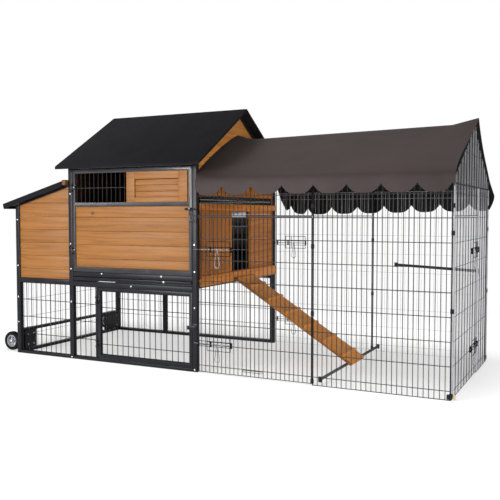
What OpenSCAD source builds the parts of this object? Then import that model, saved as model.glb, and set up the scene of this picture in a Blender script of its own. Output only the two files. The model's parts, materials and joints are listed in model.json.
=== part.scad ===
// Chicken tractor: a tube-framed hen house with a nest box and two wheels, and a wire run under a cloth cover.
// X runs along house and run, Y from front to rear, Z up. The frame stands on Z = 0, under its own middle.

/* [House frame] */
// Width of the square frame tubes
tube = 32; // [28:1:34]
// Wall of the frame tubes
tube_wall = 1.5; // [1:0.1:2.5]
// Height of the flat bottom rails
foot_h = 20; // [16:1:24]
// Depth of house and run, front to rear
house_depth = 1138; // [1060:1:1220]
// Length of the nest box bay, up to the house post
nest_len = 460; // [420:1:500]
// Length of the house bay over both its posts
house_len = 970; // [890:1:1050]
// Height of the house posts
post_h = 1274; // [1250:1:1300]
// Level that the floor beams are set out from
floor_z = 516; // [490:1:530]
// Underside of the upper cross rail at the wheel end
end_rail_z = 143; // [130:1:160]
// Height of the slot that the tray slides in
tray_slot = 30; // [26:1:34]

/* [Walls] */
// Thickness of the wall boards
board_t = 12; // [10:0.5:14]
// Face width of one wall board
board_face = 88; // [70:1:120]
// Width of the groove between two boards
groove = 3; // [2:0.5:5]
// How far a wall sits behind the face of its posts
wall_set = 8; // [4:0.5:10]

/* [House roof] */
// Rise of the ridge over the eaves
roof_rise = 383; // [360:1:420]
// Roof overhang at front and rear
eave_over = 60; // [50:1:75]
// Roof overhang over the nest box
verge_left = 57; // [50:1:64]
// Roof overhang over the run
verge_right = 50; // [36:1:60]
// Thickness of the roof boards
roof_t = 12; // [9:0.5:15]
// Thickness of the roofing felt
felt_t = 4; // [2:0.5:5]

/* [Nest box] */
// How far the lid's low edge lies under the tops of the house posts
lid_drop = 254; // [246:1:262]
// Lid overhang past the wheel end
lid_over = 82; // [70:1:95]
// Slope of the lid in degrees
lid_slope = 15.7; // [15:0.1:16.5]
// Thickness of the lid boards
lid_t = 16; // [12:0.5:17]
// Lid overhang at front and rear
lid_side = 30; // [15:1:40]
// Number of nests side by side
nests = 3; // [2:1:4]
// Height of the nest dividers
divider_h = 300; // [200:1:360]

/* [Front door] */
// Width of the door frame members
door_frame = 20; // [18:0.5:24]
// Height of the door's bottom rail
door_foot = 30; // [24:1:40]
// Depth of the door frames
door_t = 24; // [22:0.5:26]
// Sheet thickness of the folded door frames
sheet = 1.5; // [1:0.1:2]
// Height of the barred window
window_h = 198; // [160:1:205]
// Pitch of the window bars
bar_gap = 37; // [30:1:60]
// Width of the sliding window shutter
shutter_w = 444; // [400:1:460]
// Thickness of the shutter
shutter_t = 12; // [10:0.5:13]

/* [Lower door] */
// Width of the wire strip left of the lower door
strip_w = 178; // [120:1:200]
// Width of the lower door's frame members
lower_frame = 22; // [20:1:28]

/* [Pop door and ramp] */
// Width of the pop hole
pop_w = 282; // [240:1:310]
// Front edge of the pop hole from the front of the house
pop_y = 440; // [420:1:460]
// Height of the pop hole
pop_h = 388; // [340:1:395]
// Width of the sliding pop door
pop_door_w = 395; // [370:1:400]
// Thickness of the pop door
pop_door_t = 14; // [12:0.5:18]
// Height of the vent slot
vent_h = 48; // [30:1:60]
// Width of the ramp
ramp_w = 250; // [200:1:280]
// Thickness of the ramp plank
ramp_t = 18; // [14:1:22]
// Length of the ramp from its pivot
ramp_len = 925; // [910:1:960]
// Number of cleats on the ramp
cleats = 6; // [4:1:7]

/* [Wheels] */
// Diameter of the wheels
wheel_d = 131; // [120:1:134]
// Width of the tyres
tyre_w = 34; // [28:1:36]
// Diameter of the wheel hubs
hub_d = 84; // [70:1:90]
// Diameter of the axle bolts
axle_d = 10; // [8:0.5:12]
// Ground clearance of the wheels
wheel_lift = 4; // [3:0.5:10]
// Distance of the axles from the wheel end
wheel_out = 79; // [76:1:86]

/* [Wire run] */
// Length of the run past the house
run_len = 1500; // [1440:1:1560]
// Height of the wire panels
panel_h = 1102; // [1090:1:1110]
// Thickness of the panel wires
wire = 3; // [2.5:0.1:3.5]
// Diameter of the upright edge rods
rod_d = 6; // [5.5:0.1:7]
// Pitch of the upright wires
wire_step = 27.5; // [24:0.5:36]
// Pitch of the level wires
level_step = 126; // [120:1:128]
// Height of the lowest level wire
low_level = 47; // [44:1:54]
// Pitch of the wires under the house
lower_step = 42; // [34:1:50]
// Length of a gate's slide bolts
bolt_len = 262; // [255:1:280]
// Diameter of the slide bolts
bolt_d = 5; // [4:0.5:6]
// Travel of the slide bolts
bolt_travel = 34; // [30:1:36]
// Width of the hanging loop handles at their foot
loop_w = 36; // [28:1:40]
// Drop of the hanging loop handles
loop_drop = 110; // [90:1:118]
// Diameter of the spreader rod and the perch
perch_d = 18; // [14:1:22]
// Height of the corner perch
perch_z = 606; // [590:1:630]

/* [Cover] */
// Rise of the cover's ridge over the panels, at the house
rise_house = 336; // [320:1:345]
// Rise of the cover's ridge before it lifts to the end gable
rise_end = 361; // [352:1:372]
// Rise of the cover's peak over the end gable
rise_peak = 393; // [386:1:402]
// Rise of the fold where the hanging edge starts
rise_fold = 54; // [50:1:66]
// Rise of the front hem's cusps over the panels
rise_cusp = 8; // [0:1:18]
// Drop of the rear hem's cusps under the panels' tops
drop_cusp = 112; // [100:1:116]
// Depth of the scallops
scallop = 48; // [30:1:52]
// Scallops along each side
scallops = 8; // [6:1:9]
// How far the hanging edge stands outside the panels
cover_out = 16; // [14:1:24]
// Thickness of the cloth
cover_t = 2; // [1:0.5:3]
// How far the cloth sags between ridge and fold
cover_sag = 4; // [0:0.5:5]
// How far the cloth's end edge hangs in between peak and fold
end_sag = 30; // [10:1:34]

/* [Hidden] */
$fn = 48;

// Clearances: beside a fixed neighbour, round a turning pin, and what every cut runs past its face
fit_gap = 0.3;
run_gap = 0.08;
cut_over = 2;
weld = 0.5;

// Places along the house and run
house_x = nest_len;
post_c_x = house_x + house_len - tube;
house_end = house_x + house_len;
run_end = house_end + run_len;
half_depth = house_depth / 2;
inner_front = tube;
inner_rear = house_depth - tube;
bay_depth = house_depth - 2 * tube;

// Heights of the frame
rail_drop = 3;
lower_rail_top = floor_z - rail_drop;
lower_rail_z = lower_rail_top - tube;
front_beam_z = lower_rail_top + tray_slot;
nest_drop = 29;
nest_beam_z = floor_z - nest_drop;
nest_beam_top = nest_beam_z + tube;
wall_low = front_beam_z + tube;
top_rail_z = post_h - tube;

// Where the joints between the boards start, under the foot of each wall
nest_start = 23;
wall_start = 6;
wall_rows = 8;

// House roof
eave_drop = 17;
eave_z = post_h - eave_drop;
ridge_z = eave_z + roof_rise;
roof_run = half_depth + eave_over;
roof_pitch = atan2(ridge_z - eave_z, roof_run);
felt_v = felt_t / cos(roof_pitch);
roof_v = roof_t / cos(roof_pitch);
roof_x = house_x - verge_left;
roof_len = house_len + verge_left + verge_right;
rafter_v = tube / cos(roof_pitch);

// Nest box lid and its hinges
lid_x = -lid_over;
lid_tip_z = post_h - lid_drop;
lid_felt_t = 4;
batten_w = 28;
batten_h = 34;
batten_drop = 6;
batten_x = house_x - batten_w;
lid_gap = 3;
lid_end = batten_x - lid_gap;
lid_v = (lid_t + lid_felt_t) / cos(lid_slope);
nest_post_gap = 8;
nest_post_h = lid_under(0) - nest_post_gap;
nest_rail_h = 25;
nest_rail_t = 3;
batten_low = lid_under(batten_x) - batten_drop - fit_gap;
hinge_r = 6;
hinge_pin_d = 6;
hinge_l = 26;
hinge_end_l = 10;
hinge_plate_w = 17;
hinge_plate_t = 3;
hinge_out = 7;
hinge_shares = [0.12, 0.5, 0.88];
lid_strap = 2;
nest_floor_t = 10;
divider_t = 10;

// Front door: leaf, panel, window and bolt
door_gap = 2;
door_x = house_x + tube + door_gap;
door_w = house_len - 2 * tube - 2 * door_gap;
door_z = wall_low + door_gap;
door_top = min(top_rail_z, eave_z - felt_v - roof_v) - door_gap;
door_h = door_top - door_z;
door_y = 2;
door_axis_x = house_x + tube + door_gap / 2;
window_z = door_top - door_frame - window_h;
panel_top = window_z - door_frame;
panel_z = door_z + door_foot;
panel_set = 6;
panel_start = 31;
panel_y = door_y + panel_set;
shutter_lip = 5;
shutter_stile = 62;
shutter_head = 50;
shutter_foot = 34;
shutter_stop = 12;
shutter_recess = 5;
bars_t = 4;
bars_set = 4;
bars_y = door_y + sheet + fit_gap + shutter_t + bars_set;
door_hinge_shares = [0.2, 0.82];
door_bolt_d = 8;
door_bolt_len = 56;
door_bolt_reach = 24;
door_bolt_out = 8;
door_bolt_share = 0.61;
door_guide_h = 18;
door_knob_d = 14;
door_knob_l = 12;

// Lower door
jamb_w = 16;
jamb_x = house_x + tube + strip_w;
lower_x = jamb_x + jamb_w + door_gap;
lower_w = post_c_x - door_gap - lower_x;
lower_z = foot_h + 2 * door_gap;
lower_h = lower_rail_z - door_gap - lower_z;
lower_axis_x = jamb_x + jamb_w + door_gap / 2;
lower_mesh_y = 12;
lower_level_shares = [0.16, 0.74];
button_share = 0.534;
button_len = 62;
button_back = 22;
button_h = 24;
strike_h = 50;
strike_t = 1.5;
button_t = 4;
button_head_d = 12;

// Right wall, pop door and ramp
wall_x = house_end - wall_set - board_t;
wall_face = house_end - wall_set;
base_t = 27;
base_top = front_beam_z + tube;
pop_z = base_top + groove;
pop_top = pop_z + pop_h;
rail_t = 4;
rail_h = 38;
rail_y = 40;
rail_short = 62;
rail_end = pop_y + pop_w - rail_short;
pop_door_y = 36;
pop_door_x = wall_face + rail_t + fit_gap;
pop_foot = 12;
pop_lip = 6;
pop_rim = 36;
pop_recess = 4;
pop_boards = 4;
header_h = 38;
header_t = 24;
vent_z = pop_top + fit_gap + pop_lip + header_h + groove;
vent_rod_d = 6;
ramp_inset = 11;
ramp_y = pop_y + ramp_inset;
pivot_d = 8;
nose_r = 12;
lug_t = 6;
lug_l = 26;
lug_h = 24;
pivot_out = 14;
ramp_x = wall_face + base_t + pivot_out;
ramp_z = floor_z + nose_r;
spreader_off = 33;
spreader_x = house_end + run_len / 2 + spreader_off;
spreader_z = 36;
ramp_reach = norm([spreader_x - ramp_x, ramp_z - spreader_z]);
ramp_angle = atan2(ramp_z - spreader_z, spreader_x - ramp_x)
    - asin((ramp_t / 2 + perch_d / 2 + fit_gap) / ramp_reach);
cleat_w = 16;
cleat_h = 9;
cleat_first = 90;

// Wheels
wheel_y = 40;
wheel_z = wheel_d / 2 + wheel_lift;
hub_w = 28;
hub_rim = 8;
hub_boss_r = 13;
hub_web = 8;
hub_hole_r = 8;
hub_holes = 5;
bracket_t = 4;
wheel_gap = 5;
bracket_y = wheel_y + tyre_w / 2 + wheel_gap;
bracket_w = 72;
bracket_foot = 6;
bracket_arm = 27;
axle_head_d = 18;
axle_head_l = 6;

// Inside the house
roost_w = 40;
roost_h = 30;
roost_z = 780;
tray_t = 1.5;
tray_h = 22;
runner_t = 6;
runner_w = 26;
tray_x = house_x + tube + door_gap;
tray_w = house_len - 2 * tube - 2 * door_gap;
tray_back = 36;
tray_lip = 12;
nest_hole_w = 240;
nest_hole_h = 250;
nest_arch_r = 170;

// Heights of the cover
cover_ridge_house = panel_h + rise_house;
cover_ridge_end = panel_h + rise_end;
cover_peak = panel_h + rise_peak;
fold_z = panel_h + rise_fold;
front_cusp_z = panel_h + rise_cusp;
rear_cusp_z = panel_h - drop_cusp;

// Wire run
clip_span = 8;
clip_edge = 4.5;
clip_h = 24;
clip_t = 9;
rod_y = wire / 2;
gate_low = 8;
gate_rows = 7;
gate_top = low_level + gate_rows * level_step + wire / 2;
header_low = gate_top + gate_low;
mid_shift = 12;
run_mid = house_end + run_len / 2 - mid_shift;
gate_free_gap = 3;
gate_hinge_x = run_mid - clip_span / 2;
gate_w = gate_hinge_x - house_end - gate_free_gap - rod_d / 2;
panel_x = run_mid + clip_span / 2;
corner_x = run_end - rod_y;
panel_end_x = corner_x - clip_span;
panel_w = panel_end_x - panel_x;
strip_y = rod_y + gate_w + clip_span + gate_free_gap;
strip_len = house_depth - rod_y - strip_y;
mid_clip_rows = [2.8, 5.75];
corner_clip_rows = [3.25, 6.4];
foot_clip_z = 24;
head_clip_z = low_level + (gate_rows + 1 / 2) * level_step;
cage_len = 230;
cage_h = 30;
cage_bar = 3;
ear_w = 6;
bolt_out = 6;
bolt_reach = 24;
loop_wire = 4;
loop_back = 160;
loop_top_r = 6;
drop_steps = 12;
ear_near = 9;
ear_mid = 92;
bolt_rows = [1.05, 5.5];
upper_bolt_z = low_level + bolt_rows[1] * level_step;
lower_bolt_z = low_level + bolt_rows[0] * level_step;
gable_low = panel_h + fit_gap;
shoulder_rise = 44;
gable_shoulder = panel_h + shoulder_rise;
gable_hang = end_sag - cover_t;
gable_drop = 9;
gable_peak = cover_peak - cover_t - gable_drop;
gable_level_share = 0.47;

// Cover poles and perches
pole_d = 20;
eave_pole_d = 16;
house_gap = 7;
cover_x = house_end + house_gap;
end_lap = 22;
cover_end = run_end + end_lap;
kink_back = 125;
kink_x = run_end - kink_back;
cover_slope = atan2(cover_ridge_house - fold_z, half_depth + cover_out);
eave_pole_y = eave_pole_d / 2;
eave_pole_z = fold_z + (eave_pole_y + cover_out) * tan(cover_slope) - cover_sag
    - (cover_t + eave_pole_d / 2 + fit_gap) / cos(cover_slope);
pole_tilt = atan2(cover_ridge_end - cover_ridge_house, kink_x - cover_x);
pole_rest = 1;
pole_drop = cover_t + (pole_d / 2 + fit_gap) / cos(cover_slope) + pole_rest;
cover_wave = 6;
hem_lead = 18;
rear_lag = 2;
scallop_bow = 1.8;
house_lift = 66;
lift_len = 150;
lift_bow = 0.35;
ridge_lift = 20;
end_draw = 18;
end_flare = 12;
cloth_steps = 6;
valance_rows = 2;
slope_rows = 3;
clamp_w = 20;
clamp_t = 12;
clamp_h = 30;
perch_back = 596;
perch_x = run_end - perch_back;
perch_y = 800;

// The overall box, so that the origin lies under its middle
x_min = min(lid_x, -wheel_out - wheel_d / 2);
x_max = cover_end + end_flare;
mid_x = (x_min + x_max) / 2;

frame_colour = "#3f3f46";
wood_colour = "#c88a55";
shade_wood_colour = "#a8713f";
felt_colour = "#26262b";
wire_colour = "#1c1c1f";
cloth_colour = "#514946";
steel_colour = "#b9bcc0";

// Moves the work frame, which starts at the front left post, under the middle of the whole
module place() translate([-mid_x, -half_depth, 0]) children();

// The rear copy of something at the front, and the pair of both
module at_rear() translate([0, house_depth, 0]) mirror([0, 1, 0]) children();

module both_sides() {
    children();
    at_rear() children();
}

// A square tube with its bore along one axis
module tube_bar(at, size, along) {
    bore = [for (i = [0:2]) i == along ? size[i] + 2 * cut_over : size[i] - 2 * tube_wall];
    inset = [for (i = [0:2]) i == along ? -cut_over : tube_wall];
    translate(at) difference() {
        cube(size);
        translate(inset) cube(bore);
    }
}

// A flat outline in X and Z, given thickness from y to y + t
module upright(y, t) translate([0, y + t, 0]) rotate([90, 0, 0]) linear_extrude(t) children();

// A flat outline in Y and Z, given thickness from x to x + t
module crosswise(x, t) translate([x, 0, 0]) rotate([90, 0, 90]) linear_extrude(t) children();

// Grooves across a board wall of the given width, one for each joint between boards
module board_grooves(at, w, h, y_face) {
    for (z = [board_face:board_face:h - groove])
        translate([at[0] - cut_over, y_face, at[2] + z]) rotate([45, 0, 0])
            cube([w + 2 * cut_over, groove / sqrt(2), groove / sqrt(2)]);
}

// The same grooves on a wall that runs front to rear
module cross_grooves(at, w, h, x_face) {
    for (z = [board_face:board_face:h - groove])
        translate([x_face, at[1] - cut_over, at[2] + z]) rotate([0, 45, 0])
            translate([-groove / sqrt(2) / 2, 0, -groove / sqrt(2) / 2])
                cube([groove / sqrt(2), w + 2 * cut_over, groove / sqrt(2)]);
}

// Openings of a wire grid between its edges, for level wires at the given heights
module grid_holes(w, h, edge, pitch, levels) {
    columns = max(1, round((w - 2 * edge + wire) / pitch));
    cell = (w - 2 * edge - (columns - 1) * wire) / columns;
    lows = concat([edge], [for (z = levels) z + wire / 2]);
    highs = concat([for (z = levels) z - wire / 2], [h - edge]);
    for (i = [0:columns - 1], j = [0:len(lows) - 1])
        translate([edge + i * (cell + wire), lows[j]]) square([cell, highs[j] - lows[j]]);
}

// A flat welded wire grid standing in X and Z
module wire_grid(w, h, edge, pitch, levels, t) {
    upright(0, t) difference() {
        square([w, h]);
        grid_holes(w, h, edge, pitch, levels);
    }
}

// Heights of evenly spaced level wires between two edges
function even_levels(h, count) = [for (k = [1:count]) k * h / (count + 1)];

// A run panel: a wire grid between two upright edge rods, standing at x = 0 to w
module run_panel(w, low, high, levels) {
    edge_in = rod_d / 6;
    translate([-edge_in, 0, low])
        wire_grid(w + 2 * edge_in, high - low, 2 * edge_in, wire_step, [for (z = levels) z - low], wire);
    for (x = [0, w])
        translate([x, rod_y, low]) cylinder(h = high - low, d = rod_d);
}

panel_levels = [for (z = [low_level:level_step:panel_h - wire]) z];
gate_levels = [for (k = [0:gate_rows - 1]) low_level + k * level_step];
header_levels = [for (z = panel_levels) if (z > header_low + wire) z];

// Frame

module posts() color(frame_colour) place() both_sides() {
    tube_bar([0, 0, 0], [tube, tube, nest_post_h], 2);
    for (x = [house_x, post_c_x])
        tube_bar([x, 0, 0], [tube, tube, post_h], 2);
}

module bottom_rails() color(frame_colour) place() {
    both_sides() {
        tube_bar([tube, 0, 0], [nest_len - tube, tube, foot_h], 0);
        tube_bar([house_x + tube, 0, 0], [house_len - 2 * tube, tube, foot_h], 0);
    }
    for (z = [0, end_rail_z])
        tube_bar([0, inner_front, z], [tube, bay_depth, foot_h], 1);
    tube_bar([jamb_x, door_y, foot_h], [jamb_w, door_t, lower_rail_z - foot_h], 2);
}

module floor_beams() color(frame_colour) place() {
    both_sides()
        tube_bar([tube, 0, nest_beam_z], [nest_len - tube, tube, tube], 0);
    for (x = [0, house_x])
        tube_bar([x, inner_front, nest_beam_z], [tube, bay_depth, tube], 1);
    for (z = [lower_rail_z, front_beam_z])
        tube_bar([house_x + tube, 0, z], [house_len - 2 * tube, tube, tube], 0);
    tube_bar([house_x + tube, inner_rear, lower_rail_z], [house_len - 2 * tube, tube, tube], 0);
    tube_bar([post_c_x, inner_front, lower_rail_z], [tube, bay_depth, tube], 1);
    for (x = [tray_x, tray_x + tray_w - runner_w])
        translate([x, wall_set, lower_rail_top])
            cube([runner_w, house_depth - 2 * wall_set - board_t - fit_gap, runner_t]);
}

module top_rails() color(frame_colour) place() {
    both_sides()
        tube_bar([house_x + tube, 0, top_rail_z], [house_len - 2 * tube, tube, tube], 0);
    for (x = [house_x + wall_set + board_t + fit_gap, wall_x - fit_gap - tube])
        tube_bar([x, inner_front + fit_gap, top_rail_z], [tube, bay_depth - 2 * fit_gap, tube], 1);
    both_sides() nest_rail();
}

// A steel angle along the top of the nest box wall, under the lid
module nest_rail() {
    upright(0, nest_rail_t) polygon([
        [tube, lid_under(tube) - fit_gap],
        [batten_x - fit_gap, lid_under(batten_x - fit_gap) - fit_gap],
        [batten_x - fit_gap, batten_low],
        [house_x, batten_low],
        [house_x, lid_under(house_x) - nest_rail_h],
        [tube, lid_under(tube) - nest_rail_h]]);
    upright(0, tube) polygon([
        [tube, lid_under(tube) - fit_gap],
        [batten_x - fit_gap, lid_under(batten_x - fit_gap) - fit_gap],
        [batten_x - fit_gap, lid_under(batten_x - fit_gap) - nest_rail_t - fit_gap],
        [tube, lid_under(tube) - nest_rail_t - fit_gap]]);
}

// Wheels

module wheel_bracket() {
    translate([-bracket_t, bracket_y, bracket_foot])
        cube([bracket_t, bracket_w, end_rail_z + foot_h - bracket_foot]);
    difference() {
        union() {
            translate([-wheel_out, bracket_y, wheel_z - bracket_arm])
                cube([wheel_out - bracket_t + weld, bracket_t, 2 * bracket_arm]);
            translate([-wheel_out, bracket_y, wheel_z]) rotate([-90, 0, 0])
                cylinder(h = bracket_t, r = bracket_arm);
        }
        translate([-wheel_out, bracket_y - cut_over, wheel_z]) rotate([-90, 0, 0])
            cylinder(h = bracket_t + 2 * cut_over, d = axle_d + 2 * run_gap);
    }
}

module wheel_brackets() color(frame_colour) place() both_sides() wheel_bracket();

module wheel_axle() translate([-wheel_out, 0, wheel_z]) rotate([-90, 0, 0]) {
    head = wheel_y - hub_w / 2 - fit_gap - axle_head_l;
    translate([0, 0, head]) cylinder(h = axle_head_l, d = axle_head_d);
    translate([0, 0, head]) cylinder(h = bracket_y + bracket_t + axle_head_l - head, d = axle_d);
    translate([0, 0, bracket_y + bracket_t]) cylinder(h = axle_head_l, d = axle_head_d, $fn = 6);
}

module wheel_axles() color(steel_colour) place() both_sides() wheel_axle();

// A tyre with a rounded tread and shallow grooves at its shoulders
module tyre() {
    tread = wheel_d / 2;
    round_r = tyre_w / 4;
    bead = hub_d / 2 + run_gap;
    translate([-wheel_out, wheel_y, wheel_z]) rotate([-90, 0, 0]) rotate_extrude($fn = 96) difference() {
        union() {
            translate([bead, -tyre_w / 2]) square([tread - round_r - bead, tyre_w]);
            translate([bead, round_r - tyre_w / 2]) square([tread - bead, tyre_w - 2 * round_r]);
            for (s = [-1, 1])
                translate([tread - round_r, s * (tyre_w / 2 - round_r)]) circle(round_r);
        }
        for (s = [-1, 1])
            translate([tread - groove / 2, s * round_r / 2 - groove / 2]) square([groove, groove]);
    }
}

// A moulded hub: rim, web with round holes, and a bored boss
module hub() translate([-wheel_out, wheel_y, wheel_z]) rotate([-90, 0, 0]) difference() {
    rotate_extrude($fn = 96) {
        translate([axle_d / 2 + run_gap, -hub_w / 2]) square([hub_boss_r - axle_d / 2 - run_gap, hub_w]);
        translate([hub_boss_r - weld, -hub_web / 2]) square([hub_d / 2 - hub_boss_r, hub_web]);
        translate([hub_d / 2 - hub_rim, -hub_w / 2]) square([hub_rim, hub_w]);
    }
    for (k = [0:hub_holes - 1])
        rotate([0, 0, k * 360 / hub_holes])
            translate([(hub_boss_r + hub_d / 2 - hub_rim) / 2, 0, -hub_w / 2])
                cylinder(h = hub_w, r = hub_hole_r);
}

module front_tyre() color("#1d1d20") place() tyre();
module front_hub() color("#8d9096") place() hub();
module rear_tyre() color("#1d1d20") place() at_rear() tyre();
module rear_hub() color("#8d9096") place() at_rear() hub();

// Nest box

function lid_top(x) = lid_tip_z + (x - lid_x) * tan(lid_slope);
function lid_under(x) = lid_top(x) - lid_v;

module nest_side_walls() color(wood_colour) place() both_sides() difference() {
    upright(wall_set, board_t) polygon([
        [tube, nest_beam_top],
        [house_x, nest_beam_top],
        [house_x, batten_low],
        [batten_x - fit_gap, batten_low],
        [batten_x - fit_gap, lid_under(batten_x - fit_gap) - nest_rail_t - 2 * fit_gap],
        [tube, lid_under(tube) - nest_rail_t - 2 * fit_gap]]);
    board_grooves([tube, 0, nest_beam_top - nest_start], nest_len - tube, lid_under(house_x) - nest_beam_top,
        wall_set);
}

module nest_end_wall() color(wood_colour) place() difference() {
    translate([wall_set, inner_front, nest_beam_top])
        cube([board_t, bay_depth, lid_under(wall_set) - fit_gap - nest_beam_top]);
    cross_grooves([0, inner_front, nest_beam_top - nest_start], bay_depth, lid_under(0) - nest_beam_top,
        wall_set);
}

// The nest floor with the dividers that stand on it
module nest_floor() color(shade_wood_colour) place() {
    translate([tube + fit_gap, wall_set + board_t + fit_gap, nest_beam_top])
        cube([nest_len - tube - 2 * fit_gap, house_depth - 2 * (wall_set + board_t + fit_gap), nest_floor_t]);
    for (k = [1:nests - 1])
        translate([tube + fit_gap, k * house_depth / nests - divider_t / 2, nest_beam_top])
            cube([nest_len - tube - 2 * fit_gap, divider_t, nest_floor_t + divider_h]);
}

module nest_batten() color(shade_wood_colour) place()
    translate([batten_x, -lid_side, lid_under(batten_x) - batten_drop])
        cube([batten_w, house_depth + 2 * lid_side, batten_h]);

// A slab along the lid's slope, from under to over the board's underside, drawn in from the lid's free edges
module lid_slab(under, over, edge, end) upright(edge - lid_side, house_depth + 2 * (lid_side - edge)) polygon([
    [lid_x + edge, lid_under(lid_x + edge) + under / cos(lid_slope)],
    [end, lid_under(end) + under / cos(lid_slope)],
    [end, lid_under(end) + over / cos(lid_slope)],
    [lid_x + edge, lid_under(lid_x + edge) + over / cos(lid_slope)]]);

module nest_lid() color(wood_colour) place() lid_slab(0, lid_t - fit_gap, lid_felt_t + fit_gap, lid_end);

// Felt over the lid, turned down round its three free edges
module nest_lid_felt() color(felt_colour) place() difference() {
    lid_slab(0, lid_t + lid_felt_t, 0, lid_end);
    lid_slab(-cut_over, lid_t, lid_felt_t, lid_end + cut_over);
}

// Hinges: a fixed leaf with its pin, and the moving knuckle that turns on it, about a Z axis at the origin

module fixed_hinge() {
    for (z = [-hinge_l / 2 - hinge_end_l, hinge_l / 2])
        translate([0, 0, z]) {
            cylinder(h = hinge_end_l, r = hinge_r);
            translate([-hinge_plate_w, hinge_out - hinge_plate_t, 0])
                cube([hinge_plate_w, hinge_plate_t, hinge_end_l]);
            translate([-hinge_r, 0, 0]) cube([hinge_r, hinge_out, hinge_end_l]);
        }
    translate([0, 0, -hinge_l / 2 - hinge_end_l / 2]) cylinder(h = hinge_l + hinge_end_l, d = hinge_pin_d);
}

module moving_knuckle(seat) difference() {
    union() {
        translate([0, 0, fit_gap - hinge_l / 2]) cylinder(h = hinge_l - 2 * fit_gap, r = hinge_r);
        translate([0, seat - hinge_plate_t, fit_gap - hinge_l / 2])
            cube([hinge_plate_w, hinge_plate_t + weld, hinge_l - 2 * fit_gap]);
        translate([0, 0, fit_gap - hinge_l / 2]) cube([hinge_r, seat, hinge_l - 2 * fit_gap]);
    }
    translate([0, 0, -hinge_l]) cylinder(h = 2 * hinge_l, d = hinge_pin_d + 2 * run_gap);
}

lid_axis_x = batten_x - lid_gap / 2;
lid_axis_z = max(lid_top(lid_end), lid_under(batten_x) - batten_drop + batten_h) + hinge_r + fit_gap;

// Lid hinge parts in their own plane: X along the house, Y up, extruded front to rear
module lid_hinge_fixed() {
    batten_top = lid_under(batten_x) - batten_drop + batten_h;
    rotate([90, 0, 0]) {
        for (z = [-hinge_l / 2 - hinge_end_l, hinge_l / 2])
            translate([0, 0, z]) {
                cylinder(h = hinge_end_l, r = hinge_r);
                translate([0, batten_top - lid_axis_z, 0])
                    cube([hinge_plate_w, hinge_plate_t, hinge_end_l]);
                translate([0, batten_top - lid_axis_z, 0])
                    cube([hinge_r, lid_axis_z - batten_top, hinge_end_l]);
            }
        translate([0, 0, -hinge_l / 2 - hinge_end_l / 2])
            cylinder(h = hinge_l + hinge_end_l, d = hinge_pin_d);
    }
}

module lid_hinge_leaf() rotate([90, 0, 0]) difference() {
    union() {
        translate([0, 0, fit_gap - hinge_l / 2]) cylinder(h = hinge_l - 2 * fit_gap, r = hinge_r);
        translate([0, 0, fit_gap - hinge_l / 2]) linear_extrude(hinge_l - 2 * fit_gap) polygon([
            [0, hinge_r - lid_strap],
            [0, -hinge_r],
            [lid_end - lid_gap - lid_axis_x, lid_top(lid_end - lid_gap) - lid_axis_z],
            [-hinge_plate_w, lid_top(lid_axis_x - hinge_plate_w) - lid_axis_z],
            [-hinge_plate_w, lid_top(lid_axis_x - hinge_plate_w) - lid_axis_z + lid_strap],
            [-hinge_r, lid_top(lid_axis_x - hinge_r) - lid_axis_z + 2 * lid_strap]]);
    }
    translate([0, 0, -hinge_l]) cylinder(h = 2 * hinge_l, d = hinge_pin_d + 2 * run_gap);
}

module lid_hinge_leaves() color(steel_colour) place() for (s = hinge_shares)
    translate([lid_axis_x, s * house_depth, lid_axis_z]) lid_hinge_leaf();

module door_hinges() color(frame_colour) place() {
    for (s = door_hinge_shares) {
        translate([door_axis_x, -hinge_out, door_z + s * door_h]) fixed_hinge();
        translate([lower_axis_x, door_y - hinge_out, lower_z + s * lower_h]) fixed_hinge();
    }
    for (s = hinge_shares)
        translate([lid_axis_x, s * house_depth, lid_axis_z]) lid_hinge_fixed();
    translate([post_c_x, -strike_t, lower_z + button_share * lower_h - strike_h / 2])
        cube([tube, strike_t, strike_h]);
}

// House walls

// Arched holes from the house into the nests
module nest_holes() for (k = [0:nests - 1]) {
    mid = (k + 1 / 2) * house_depth / nests;
    low = nest_beam_top + nest_floor_t;
    intersection() {
        translate([mid - nest_hole_w / 2, low]) square([nest_hole_w, nest_hole_h]);
        translate([mid, low + nest_hole_h - nest_arch_r]) circle(nest_arch_r);
    }
}

module house_nest_wall() color(wood_colour) place() difference() {
    crosswise(house_x + wall_set, board_t) difference() {
        translate([inner_front, nest_beam_top]) square([bay_depth, top_rail_z - nest_beam_top]);
        nest_holes();
    }
    cross_grooves([0, inner_front, nest_beam_top], bay_depth, top_rail_z - nest_beam_top, house_x + wall_set);
}

module house_rear_wall() color(wood_colour) place() at_rear() difference() {
    translate([house_x + tube, wall_set, lower_rail_top])
        cube([house_len - 2 * tube, board_t, top_rail_z - lower_rail_top]);
    board_grooves([house_x, wall_set, lower_rail_top - wall_start], house_len, top_rail_z - lower_rail_top,
        wall_set);
}

module house_right_wall() color(shade_wood_colour) place() difference() {
    crosswise(wall_x, board_t) difference() {
        translate([inner_front, lower_rail_top]) square([bay_depth, top_rail_z - lower_rail_top]);
        translate([pop_y, pop_z]) square([pop_w, pop_h]);
        translate([inner_front + tube, vent_z]) square([bay_depth - 2 * tube, vent_h]);
    }
    cross_grooves([0, inner_front, lower_rail_top - wall_start], bay_depth, top_rail_z - lower_rail_top,
        wall_face);
}

module roost_bar() color(wood_colour) place()
    translate([house_x + wall_set + board_t + fit_gap, house_depth * 2 / 3 - roost_w / 2, roost_z])
        cube([wall_x - house_x - wall_set - board_t - 2 * fit_gap, roost_w, roost_h]);

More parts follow.
